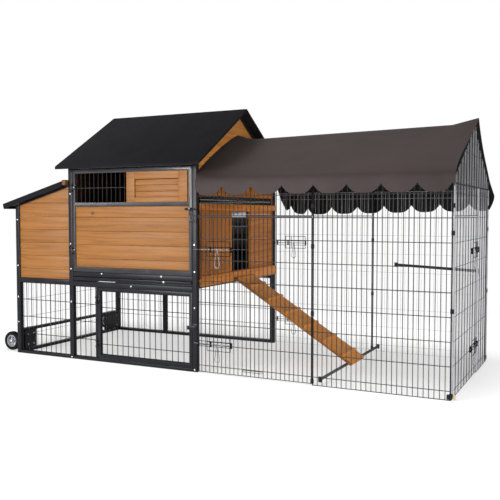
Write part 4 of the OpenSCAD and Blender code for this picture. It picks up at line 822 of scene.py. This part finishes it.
def repeat(bar, step, count):
    """The bar again and again, one step further each time."""
    take(bar)
    row = bar.modifiers.new("row", "ARRAY")
    row.use_relative_offset = False
    row.use_constant_offset = True
    row.constant_offset_displace = step
    row.count = count
    bpy.ops.object.modifier_apply(modifier=row.name)
    return bar


up = Vector((0.0, 0.0, 1.0))


def grid(start, end, low, high, edge, step, levels, thick):
    """A welded grid between two upright edges: upright wires at a step, and level wires at given heights."""
    start, end = Vector((*start, 0.0)), Vector((*end, 0.0))
    length = (end - start).length
    along = (end - start) / length
    columns = max(1, round((length - 2 * edge + thick) / step))
    pace = (length - 2 * edge + thick) / columns
    first = start + along * (edge + pace - thick / 2)
    uprights = repeat(round_bar(first + low * up, first + high * up, thick / 2), pace * along, columns - 1)
    return [uprights] + [round_bar(start + z * up, end + z * up, thick / 2) for z in levels]


wire_black = powder_coat("black powder coat", (0.004, 0.004, 0.005), 0.5, 0.65, 0.08)
bar_grey = powder_coat("grey bar coat", (0.035, 0.035, 0.040), 0.32, 0.45)
# Painted highlight: these two pale coats stand for light on wires that are black.
end_wire_painted_highlight = powder_coat("pale coat of the end wires as a painted highlight", (0.27, 0.27, 0.284), 0.32, 0.47, 0.2)
rear_wire_painted_highlight = powder_coat("pale coat of the rear wires as a painted highlight", (0.38, 0.38, 0.39), 0.35, 0.5)
bar_d = 0.0024
bar_step = 0.0345
bars_low, bars_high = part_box("window_bars")
bars_y = (bars_low.y + bars_high.y) / 2
bars_z = (bars_low.z + bar_d / 2, (bars_low.z + bars_high.z) / 2, bars_high.z - bar_d / 2)
window = grid((bars_low.x, bars_y), (bars_high.x, bars_y), bars_low.z, bars_high.z,
              bar_d, bar_step, bars_z, bar_d)
for x in (bars_low.x + bar_d, bars_high.x - bar_d):
    window.append(round_bar((x, bars_y, bars_low.z), (x, bars_y, bars_high.z), bar_d / 2))
seat(join("window_wires", window), "window_bars", bar_grey)

under_wire = 0.0046
end_wire = 0.0022
under_step = 0.042
quarters = (0.25, 0.5, 0.75)


def framed_grid(start, end, low, high, shares, thick=under_wire):
    """A grid with a wire all round, and level wires at shares of its height."""
    levels = [low + thick / 2, *(low + share * (high - low) for share in shares), high - thick / 2]
    pieces = grid(start, end, low, high, thick, under_step, levels, thick)
    pieces += [round_bar((x, y, low), (x, y, high), thick / 2) for x, y in (start, end)]
    return pieces


mesh_low, mesh_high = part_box("lower_door_mesh")
mesh_y = (mesh_low.y + mesh_high.y) / 2
door_wires = framed_grid((mesh_low.x, mesh_y), (mesh_high.x, mesh_y), mesh_low.z, mesh_high.z, (0.16, 0.74))
keep_shape("lower_door_frame", charcoal, edge=0.0005)
keep_shape("lower_door_button", charcoal, edge=0.0008)
seat(join("lower_door_wires", door_wires), "lower_door_mesh", wire_black)

mesh_set = 0.0135
mesh_set_rear = 0.0105
mesh_set_end = 0.0018
mesh_side = 0.002
lower = {"front": [], "rear": []}
for side, y, x0, x1, top in (("front", y_front + mesh_set, x_nest + tube, x_house, beam),
                             ("rear", y_rear - mesh_set, x_nest + tube, x_house, beam),
                             ("front", y_front + mesh_set, x_house + tube, jamb_x, low_rail),
                             ("rear", y_rear - mesh_set_rear, x_house + tube, x_right, low_rail)):
    lower[side] += framed_grid((x0 + mesh_side, y), (x1 - mesh_side, y), foot + gap, top - gap, quarters)
mesh_x = x_nest + tube + mesh_set_end
left_uprights, *left_levels = framed_grid((mesh_x, sides[0] + tube + mesh_side),
                                          (mesh_x, sides[1] - mesh_side), gap, beam, quarters, end_wire)
seat(join("lower_wires", lower["front"] + left_levels), "lower_mesh", wire_black)
seat(join("lower_rear_wires", lower["rear"]), "lower_mesh", rear_wire_painted_highlight)
seat(join("lower_end_uprights", [left_uprights]), "lower_mesh", end_wire_painted_highlight)

# Tray: a folded steel sheet with a charcoal coat, which slides out to the front on the runners.
# A turned down lip lies along a part of its front edge, and one screw head shows there.
lip_start = x_house + 0.392
lip_low = tray_low.z - 0.0045
lip_high = tray_low.z + 0.003
lip_front = y_front + 0.002
lip_t = 0.0015
lip = block("lip", (lip_start, lip_front, lip_low), (tray_high.x, lip_front + lip_t, lip_high), edge=0.0004)
tray = [eased_copy("dropping_tray", edge=0.0005), lip]
seat(join("dropping_tray_sheet", tray), "dropping_tray", charcoal)
tray_screw = screw_head((x_house + 0.741, tray_low.y, tray_high.z - 0.006), to_front, bolt_head_r)
add_on("tray_screw", [tray_screw], zinc, body_of["dropping_tray"])

# Pop door: a framed wooden door that hangs on an aluminium bar and slides in a grooved base board, and a
# cleated ramp on a steel pivot rod below it. Their stains are painted lighter than the front's, as painted
# light, and the ramp's sides carry painted shade, darker than its top.
pop_door_fir_painted_light = fir("stained fir of the pop door with painted light", painted_light_pale, painted_light_deep, "Z", "Y", 0.10)
guide_fir_painted_light = fir("stained fir of the base board with painted light", shade(painted_light_pale, 1.5), shade(painted_light_deep, 1.5),
                "Y", "Z", 0.10)
ramp_fir_painted_light = fir("stained fir of the ramp with painted light", (0.80, 0.335, 0.080), (0.64, 0.250, 0.054), "X", "Y", 0.04)
aluminium = plated("mill aluminium", (0.82, 0.83, 0.84), 0.3)
pivot_coat = powder_coat("brown coat of the pivot", (0.17, 0.070, 0.024), 0.4, 0.55)
ramp_side_painted_shade = 0.66
keep_shape("pop_door_guides", guide_fir_painted_light, edge=0.0014)
keep_shape("pop_door_rail", aluminium, edge=0.0006)
keep_shape("pop_door", pop_door_fir_painted_light, edge=0.0012)
# Painted shade: the ramp's side faces are marked to be drawn darker than its top.
ramp = eased_copy("ramp", edge=0.0018)
mark(ramp, "inside", [ramp_side_painted_shade if abs(face.normal.y) > 0.7 else 0.0 for face in ramp.data.polygons])
seat(ramp, "ramp", ramp_fir_painted_light)
keep_shape("ramp_pivot", pivot_coat, edge=0.0008)

# Run panels: fixed panels and three gates of closely set upright wires between thicker side rods.
# Plastic clips hold two rods side by side, and a gate turns with its own rod in them.
# The end's uprights have a pale coat, a painted highlight for light on them, with each third one stout and
# black for grey streaks.
wire = 0.003
rod = 0.006
rod_r = 0.0036
rod_edge = rod / 6
rod_pitch = 0.008
run_step = 0.0275
low_level = 0.047
level_step = 0.126
gate_low, gate_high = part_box("front_gate")
panel_end, _, panel_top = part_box("run_front_panel")[1]
header_low = gate_high.z + rod_pitch
gate_levels = [low_level + level_step * k for k in range(7)]
panel_levels = [low_level + level_step * k for k in range(9)]
head_levels = [z for z in panel_levels if z > header_low + wire]
sill_r = 0.0013
sill_set = 0.0014
gate_sill = gate_high.z + sill_set
header_sill = header_low - sill_set


def rodded(start, end, low, high, levels, thick, third=0.0, sill=None):
    """A run panel: its uprights, its level wires with each third upright and a sill, and its side rods."""
    levels = [low + wire / 2, *levels, high - wire / 2]
    wires = grid(start, end, low, high, rod_edge, run_step, levels, thick)
    if third:
        span = Vector((*end, 0.0)) - Vector((*start, 0.0))
        along = span.normalized()
        room = span.length - 2 * rod_edge + thick
        columns = round(room / run_step)
        pace = room / columns * along
        spot = Vector((*start, 0.0)) + 3 * pace + (rod_edge - thick / 2) * along
        wires.append(repeat(round_bar(spot + low * up, spot + high * up, third / 2), 3 * pace, columns // 3))
    if sill:
        wires.append(round_bar((*start, sill), (*end, sill), sill_r))
    rods = [round_bar((x, y, low), (x, y, high), rod_r, 12) for x, y in (start, end)]
    return wires, rods


run_coat = powder_coat("black coat of the run wires", (0.020, 0.020, 0.022), 0.4, 0.55, 0.16)
front_wire = 0.0043
rear_wire = 0.0018
rod_front = y_front + wire / 2
rod_rear = y_rear - wire / 2
gate_free = gate_low.x + rod / 2
gate_hinge = gate_high.x - rod / 2
fixed_start = gate_hinge + rod_pitch
fixed_end = panel_end - rod / 2
# A slim frame of wire lies near the foot of the front gate.
slim_frame = ((0.330, 0.034), (0.461, 0.034), (0.461, 0.044), (0.330, 0.044))
slim_frame_out = 0.004
for side, y, thick, coat in (("front", rod_front, front_wire, run_coat),
                             ("rear", rod_rear, rear_wire, rear_wire_painted_highlight)):
    free = (gate_free, y)
    hinge = (gate_hinge, y)
    wires, rods = rodded(free, hinge, gate_low.z, gate_high.z, gate_levels, thick, sill=gate_sill)
    if side == "front":
        corners = [(x, y - slim_frame_out, z) for x, z in slim_frame]
        wires += [round_bar(a, b, wire / 2) for a, b in zip(corners, corners[1:] + corners[:1])]
    seat(join(side + "_gate_wires", wires), side + "_gate", coat)
    seat(join(side + "_gate_rods", rods), side + "_gate", wire_black)
    wires, rods = rodded((fixed_start, y), (fixed_end, y), 0.0, panel_top, panel_levels, thick)
    head_wires, head_rods = rodded(free, hinge, header_low, panel_top, head_levels, thick, sill=header_sill)
    seat(join(side + "_panel_wires", wires + head_wires), f"run_{side}_panel", coat)
    seat(join(side + "_panel_rods", rods + head_rods), f"run_{side}_panel", wire_black)

end_thin = 0.0027
end_stout = 0.0045
strip_gap = 0.011
end_low, end_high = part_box("end_gate")
rod_end = fixed_end + rod_pitch
hinge = (rod_end, end_low.y + rod / 2)
free = (rod_end, end_high.y - rod / 2)
strip = (rod_end, free[1] + strip_gap)
(uprights, *wires), rods = rodded(hinge, free, gate_low.z, gate_high.z, gate_levels,
                                  end_thin, end_stout, gate_sill)
seat(join("end_gate_uprights", [uprights] + rods), "end_gate", end_wire_painted_highlight)
seat(join("end_gate_wires", wires), "end_gate", wire_black)
(uprights, *end_wires), rods = rodded(strip, (rod_end, rod_rear), 0.0, panel_top, panel_levels,
                                      end_thin, end_stout)
end_uprights = [uprights] + rods
(uprights, *wires), rods = rodded(hinge, free, header_low, panel_top, head_levels,
                                  end_thin, end_stout, header_sill)
end_uprights += [uprights] + rods
end_wires += wires

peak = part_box("run_end_panel")[1].z
shoulder = panel_top + 0.044
gable_hang = 0.028
gable_in = 0.003
gable_foot = 0.002
gable_base = 0.0035
gable_drop = 0.004
stout_r = 0.0018
cross_share = 0.47


def gable_edge(share):
    """Height of the gable's edge at a share of the way from its shoulder to its peak."""
    spots = ((0.0, 0.0), (1 / 3, 0.5), (2 / 3, 1.0), (1.0, 0.0))
    for (s0, h0), (s1, h1) in zip(spots, spots[1:]):
        if share <= s1:
            part = (share - s0) / (s1 - s0)
            return shoulder + share * (peak - shoulder) - gable_hang * (h0 + part * (h1 - h0))
    return peak


gable_count = round(2 * y_rear / run_step)
for k in range(gable_count + 1):
    y = y_front + gable_in + 2 * (y_rear - gable_in) * k / gable_count
    top = gable_edge(1.0 - abs(y) / y_rear) - gable_in
    stout = k % 3 == 0
    upright_r = stout_r if stout else wire / 2
    upright = round_bar((rod_end, y, panel_top + gable_foot), (rod_end, y, top), upright_r)
    (end_wires if stout else end_uprights).append(upright)
corners = [(y_front + gable_in, panel_top + gable_base)]
corners += [(y_front + gable_in + s * (y_rear - gable_in), gable_edge(s) - gable_drop)
            for s in (0.0, 1 / 3, 2 / 3, 1.0)]
corners += [(-y, z) for y, z in reversed(corners[:-1])]
for (y0, z0), (y1, z1) in zip(corners, corners[1:] + corners[:1]):
    end_wires.append(round_bar((rod_end, y0, z0), (rod_end, y1, z1), rod / 2, 10))
cross_z = panel_top + cross_share * (peak - panel_top)
cross_y = y_rear
while gable_edge(1.0 - cross_y / y_rear) <= cross_z + gable_in:
    cross_y -= 0.001
end_wires.append(round_bar((rod_end, -cross_y, cross_z), (rod_end, cross_y, cross_z), wire / 2))
seat(join("end_panel_wires", end_wires), "run_end_panel", wire_black)
seat(join("end_panel_uprights", end_uprights), "run_end_panel", end_wire_painted_highlight)
clip_plastic = moulded("black clip plastic", (0.006, 0.006, 0.0065), 0.6, 900.0, 0.12)
keep_shape("panel_clips", clip_plastic, edge=0.0012)

# Corner foot: a black block round the rods at the foot of the run's front corner, away from the house.
# A brass wing screw draws it tight from the end.
brass = plated("brass", (0.62, 0.50, 0.26), 0.35)
foot_face = fixed_end + 0.010
stem_y = y_front + 0.002
stem_z = 0.018
stem_r = 0.005
stem_len = 0.008
wing_x = foot_face + 0.006
wing_w = 0.011
wing_half_t = 0.002
wing_half_h = 0.011
foot_block = block("foot", (fixed_end - 0.018, y_front - 0.008, 0.006),
                   (foot_face, y_front + 0.012, 0.030), edge=0.002)
stem = round_bar((foot_face, stem_y, stem_z), (foot_face + stem_len, stem_y, stem_z), stem_r, 14)
wing = block("wing", (wing_x, stem_y - wing_half_t, stem_z - wing_half_h),
             (wing_x + wing_w, stem_y + wing_half_t, stem_z + wing_half_h), edge=0.0016)
add_on("corner_foot", [foot_block], charcoal, body_of["run_front_panel"])
add_on("corner_wing_screw", [stem, wing], brass, body_of["run_front_panel"])

# Gate latches: on each gate two guides, each in a frame of wire, for a long slide bolt of steel rod.
# A pear shaped loop of wire hangs from each bolt to draw it, and its tip lies over the next post or rod.
latch_steel = plated("latch steel", (0.24, 0.24, 0.25), 0.35)
bolt_r = 0.0025
bolt_drop = 0.004
loop_back = 0.160
frame_out = 0.0035
frame_ahead = 0.066
frame_behind = -0.090
frame_low = -0.038
frame_high = 0.048
frame_cross = 0.014
frame_post = 0.020
frame_r = 0.0018
frame_cross_r = 0.0015


def hanging_loop(top, along):
    """A loop of wire with a small round at its top and a large one at its foot."""
    loop_r = 0.002
    small = 0.004
    large = 0.016
    drop = 0.090
    lean = math.asin((large - small) / drop)
    outline = []
    for radius, middle, start, sweep, steps in ((small, 0.0, lean, math.pi - 2 * lean, 8),
                                                (large, -drop, math.pi - lean, math.pi + 2 * lean, 16)):
        for k in range(steps + 1):
            turn = start + k * sweep / steps
            outline.append((radius * math.cos(turn), radius * math.sin(turn) + middle - loop_r))
    line = bpy.data.curves.new("loop", "CURVE")
    line.dimensions = "3D"
    line.bevel_depth = loop_r
    line.bevel_resolution = 2
    spline = line.splines.new("POLY")
    spline.points.add(len(outline) - 1)
    for spot, (u, v) in zip(spline.points, outline):
        spot.co = (*(top + along * u + up * v), 1.0)
    spline.use_cyclic_u = True
    loop = bpy.data.objects.new("loop", line)
    bpy.context.collection.objects.link(loop)
    take(loop)
    bpy.ops.object.convert(target="MESH")
    return bpy.context.object


for gate, along, out in (("front", Vector((-1.0, 0.0, 0.0)), Vector((0.0, -1.0, 0.0))),
                         ("rear", Vector((-1.0, 0.0, 0.0)), Vector((0.0, 1.0, 0.0))),
                         ("end", Vector((0.0, 1.0, 0.0)), Vector((1.0, 0.0, 0.0)))):
    latches = [eased_copy(gate + "_gate_latches", edge=0.0005)]
    for height in ("upper", "lower"):
        node = f"{gate}_gate_{height}_bolt"
        low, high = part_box(node)
        middle = (low + high) / 2
        half_len = abs((high - low) @ along) / 2
        half_out = abs((high - low) @ out) / 2
        axis = Vector((middle.x, middle.y, high.z - bolt_drop)) - out * (half_out - bolt_r)
        bolt = ease_edges(round_bar(axis - along * half_len, axis + along * half_len, bolt_r, 14), 0.001)
        loop_top = axis + along * (half_len - loop_back) + out * bolt_r
        face = loop_top + out * frame_out
        for a0, z0, a1, z1, radius in ((frame_ahead, frame_low, frame_ahead, frame_high, frame_r),
                                       (frame_ahead, frame_high, frame_behind, frame_high, frame_r),
                                       (frame_behind, frame_high, frame_behind, frame_low, frame_r),
                                       (frame_behind, frame_low, frame_ahead, frame_low, frame_r),
                                       (frame_ahead, frame_cross, frame_behind, frame_cross, frame_cross_r),
                                       (frame_post, frame_low, frame_post, frame_high, frame_r)):
            latches.append(round_bar(face + along * a0 + up * z0, face + along * a1 + up * z1, radius))
        seat(join(node + "_rod", [bolt, hanging_loop(loop_top, along)]), node, latch_steel, 60.0)
    seat(join(gate + "_gate_cages", latches), gate + "_gate_latches", wire_black)

# Perch rods and cover poles: steel tubes in square clamps, one under the ramp's foot, one across the rear
# corner, and three that carry the cover from the house to the end gable.
for node in ("perch_rods", "cover_poles"):
    keep_shape(node, charcoal, edge=0.0008)

# Cover: one sheet of dark brown coated polyester, stretched over the ridge pole and the end gable, that hangs
# over the eave poles in a scalloped edge. Its rear hem hangs lower and is drawn in at the house.
# Its tone carries painted shade: darker on the hanging edge and more so towards the gable, a painted shadow
# at the house, and near black on its inner faces.
scallops = 8
per_scallop = 18
rows_slope = 24
rows_drop = 8
ridge_house = panel_top + 0.336
ridge_end = panel_top + 0.361
ridge_peak = panel_top + 0.393
fold_z = panel_top + 0.054
front_cusp = panel_top + 0.008
rear_cusp = panel_top - 0.112
rear_rise = 0.030
scallop = 0.048
hem_flare = 0.006
slope_sag = 0.016
gable_sag = 0.2025
house_over = 0.150
house_lift = 0.047
house_ridge_lift = 0.016
drawn_over = 0.260
drawn_along = 0.078
drawn_up = 0.030
fold_back = 0.018
rear_bulge = 0.030
front_hollow = 0.020
cloth_drop = 0.001
cloth_t = 0.0014
scallop_round = 1.8
drawn_curve = 1.4
lift_curve = 0.35
cover_low, cover_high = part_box("cover")
cloth_start = cover_low.x
cloth_end = cover_high.x - 0.012
cloth_len = cloth_end - cloth_start
kink = rod_end + wire / 2 - 0.125
out_y = y_rear + 0.016
lead = 0.018 / cloth_len
lag = 1 / (3 * scallops)


def ridge_at(x):
    """Height of the ridge, which rises more steeply from the kink to the gable's peak."""
    if x < kink:
        return ridge_house + (ridge_end - ridge_house) * (x - cloth_start) / (kink - cloth_start)
    return ridge_end + (ridge_peak - ridge_end) * (x - kink) / (cloth_end - kink)


def sharp_point(x, row, side):
    """A point of the cloth at a place along it: rows count from the hem up to the ridge."""
    from_house = x - cloth_start
    rear = side > 0
    wave = abs(math.sin(math.pi * scallops * (from_house / cloth_len + lead - (lag if rear else 0.0))))
    hem = rear_cusp + rear_rise * from_house / cloth_len if rear else front_cusp
    hem -= scallop * (1.0 - (1.0 - wave) ** scallop_round)
    end = max(0.0, (x - kink) / (cloth_end - kink))
    if row < rows_drop:
        s = row / rows_drop
        y = out_y + hem_flare * (1.0 - s) * wave * wave
        z = hem + s * (fold_z - hem)
        shift = -fold_back
        if rear:
            shift += rear_bulge * math.sin(math.pi * s)
            drawn = max(0.0, 1.0 - from_house / drawn_over)
            x += drawn_along * drawn * (1.0 - s) ** drawn_curve
            z += drawn_up * drawn * drawn * (1.0 - s)
    else:
        s = (row - rows_drop) / rows_slope
        near = max(0.0, 1.0 - from_house / house_over) ** 2
        y = out_y * (1.0 - s)
        z = fold_z + s * (ridge_at(x) - fold_z) - (slope_sag + gable_sag * end * s) * s * (1.0 - s)
        z += near * (house_lift * abs(math.sin(math.pi * s)) ** lift_curve + house_ridge_lift * s)
        shift = -fold_back * (1.0 - s)
        if not rear:
            shift -= front_hollow * math.sin(math.pi * s)
    return Vector((x + end * end * shift, side * y, z - cloth_drop))


def cloth_point(x, row, side):
    """The same, with the fold over the eave pole rounded."""
    below = 4
    above = 1
    t = (row - rows_drop + below) / (below + above)
    if t <= 0.0 or t >= 1.0:
        return sharp_point(x, row, side)
    a, b, c = (sharp_point(x, rows_drop + step, side) for step in (-below, 0, above))
    return (1.0 - t) ** 2 * a + 2.0 * t * (1.0 - t) * b + t * t * c


def coated_cloth(name, colour):
    """Coated polyester: a close plain weave, soft creases, a dull sheen, and painted shade from its marks."""
    material, tree, skin, place = skin_of(name)
    tone = tones(tree, noise(tree, place, 3.0, 5.0), (0.3, shade(colour, 0.86)), (0.7, shade(colour, 1.12)))
    # Painted shade: the depth mark darkens the tone, and faces marked inside are drawn near black.
    depth = put(tree, "ShaderNodeAttribute", {"attribute_name": "depth"}).outputs["Fac"]
    tone = put(tree, "ShaderNodeHueSaturation", Value=depth, Color=tone).outputs[0]
    inner_painted_shade = put(tree, "ShaderNodeAttribute", {"attribute_name": "inside"}).outputs["Fac"]
    tone = mix(tree, inner_painted_shade, tone, (0.006, 0.006, 0.006, 1.0))
    warp, weft = (put(tree, "ShaderNodeTexWave", {"bands_direction": way}, Vector=place, Scale=210.0)
                  for way in ("X", "DIAGONAL"))
    weave = put(tree, "ShaderNodeMath", {"operation": "MULTIPLY"}, in0=warp.outputs["Fac"],
                in1=weft.outputs["Fac"]).outputs[0]
    crease = noise(tree, place, 7.0, 2.0, Distortion=0.6)
    soft = relief(tree, crease, 0.25, 0.012, Normal=relief(tree, weave, 0.15, 0.0004))
    feed(tree, skin, Base_Color=tone, Roughness=0.62, Specular_IOR_Level=0.12, Normal=soft)
    return material


stops = [0.0] + [k / (scallops * per_scallop) - lead for k in range(1, scallops * per_scallop + 1)] + [1.0]
columns = len(stops) - 1
rows = 2 * (rows_drop + rows_slope)
bpy.ops.object.select_all(action="DESELECT")
bpy.ops.mesh.primitive_grid_add(x_subdivisions=columns, y_subdivisions=rows, size=1.0)
cover = bpy.context.object
cover.name = "cover_cloth"
for vertex in cover.data.vertices:
    column = round((vertex.co.x + 0.5) * columns)
    row = round((vertex.co.y + 0.5) * rows)
    x = cloth_start + stops[column] * cloth_len
    vertex.co = cloth_point(x, min(row, rows - row), -1.0 if row <= rows // 2 else 1.0)
body = cover.modifiers.new("body", "SOLIDIFY")
body.thickness = cloth_t
body.offset = 0.0
bpy.ops.object.modifier_apply(modifier=body.name)
facing = [(face.normal, math.copysign(1.0, face.center.y)) for face in cover.data.polygons]
# Painted shade: the inner faces of the sheet are marked to be drawn near black.
mark(cover, "inside", [float(normal.y * side + normal.z < 0.0) for normal, side in facing])
# Painted shade: the hanging edge is darker, more so towards the gable, and a painted shadow lies near the
# house.
fold_blend = 0.060
hem_painted_shade = 0.12
hem_painted_shade_end = 0.18
house_painted_shadow = 0.52
house_painted_shadow_len = 0.19
hem_share = 0.6
painted_shade_levels = []
for vertex in cover.data.vertices:
    hanging = min(1.0, max(0.0, 0.5 + (fold_z - vertex.co.z) / fold_blend))
    share = (vertex.co.x - cloth_start) / cloth_len
    house_shadow_fall = max(0.0, 1.0 - share / house_painted_shadow_len) ** 2
    hem_shade_loss = hanging * (hem_painted_shade + hem_painted_shade_end * share)
    painted_shade_levels.append(1.0 - hem_shade_loss - (1.0 - hem_share * hanging) * house_painted_shadow * house_shadow_fall)
mark(cover, "depth", painted_shade_levels, "POINT")
seat(cover, "cover", coated_cloth("dark brown coated polyester", (0.054, 0.0405, 0.039)), 80.0)
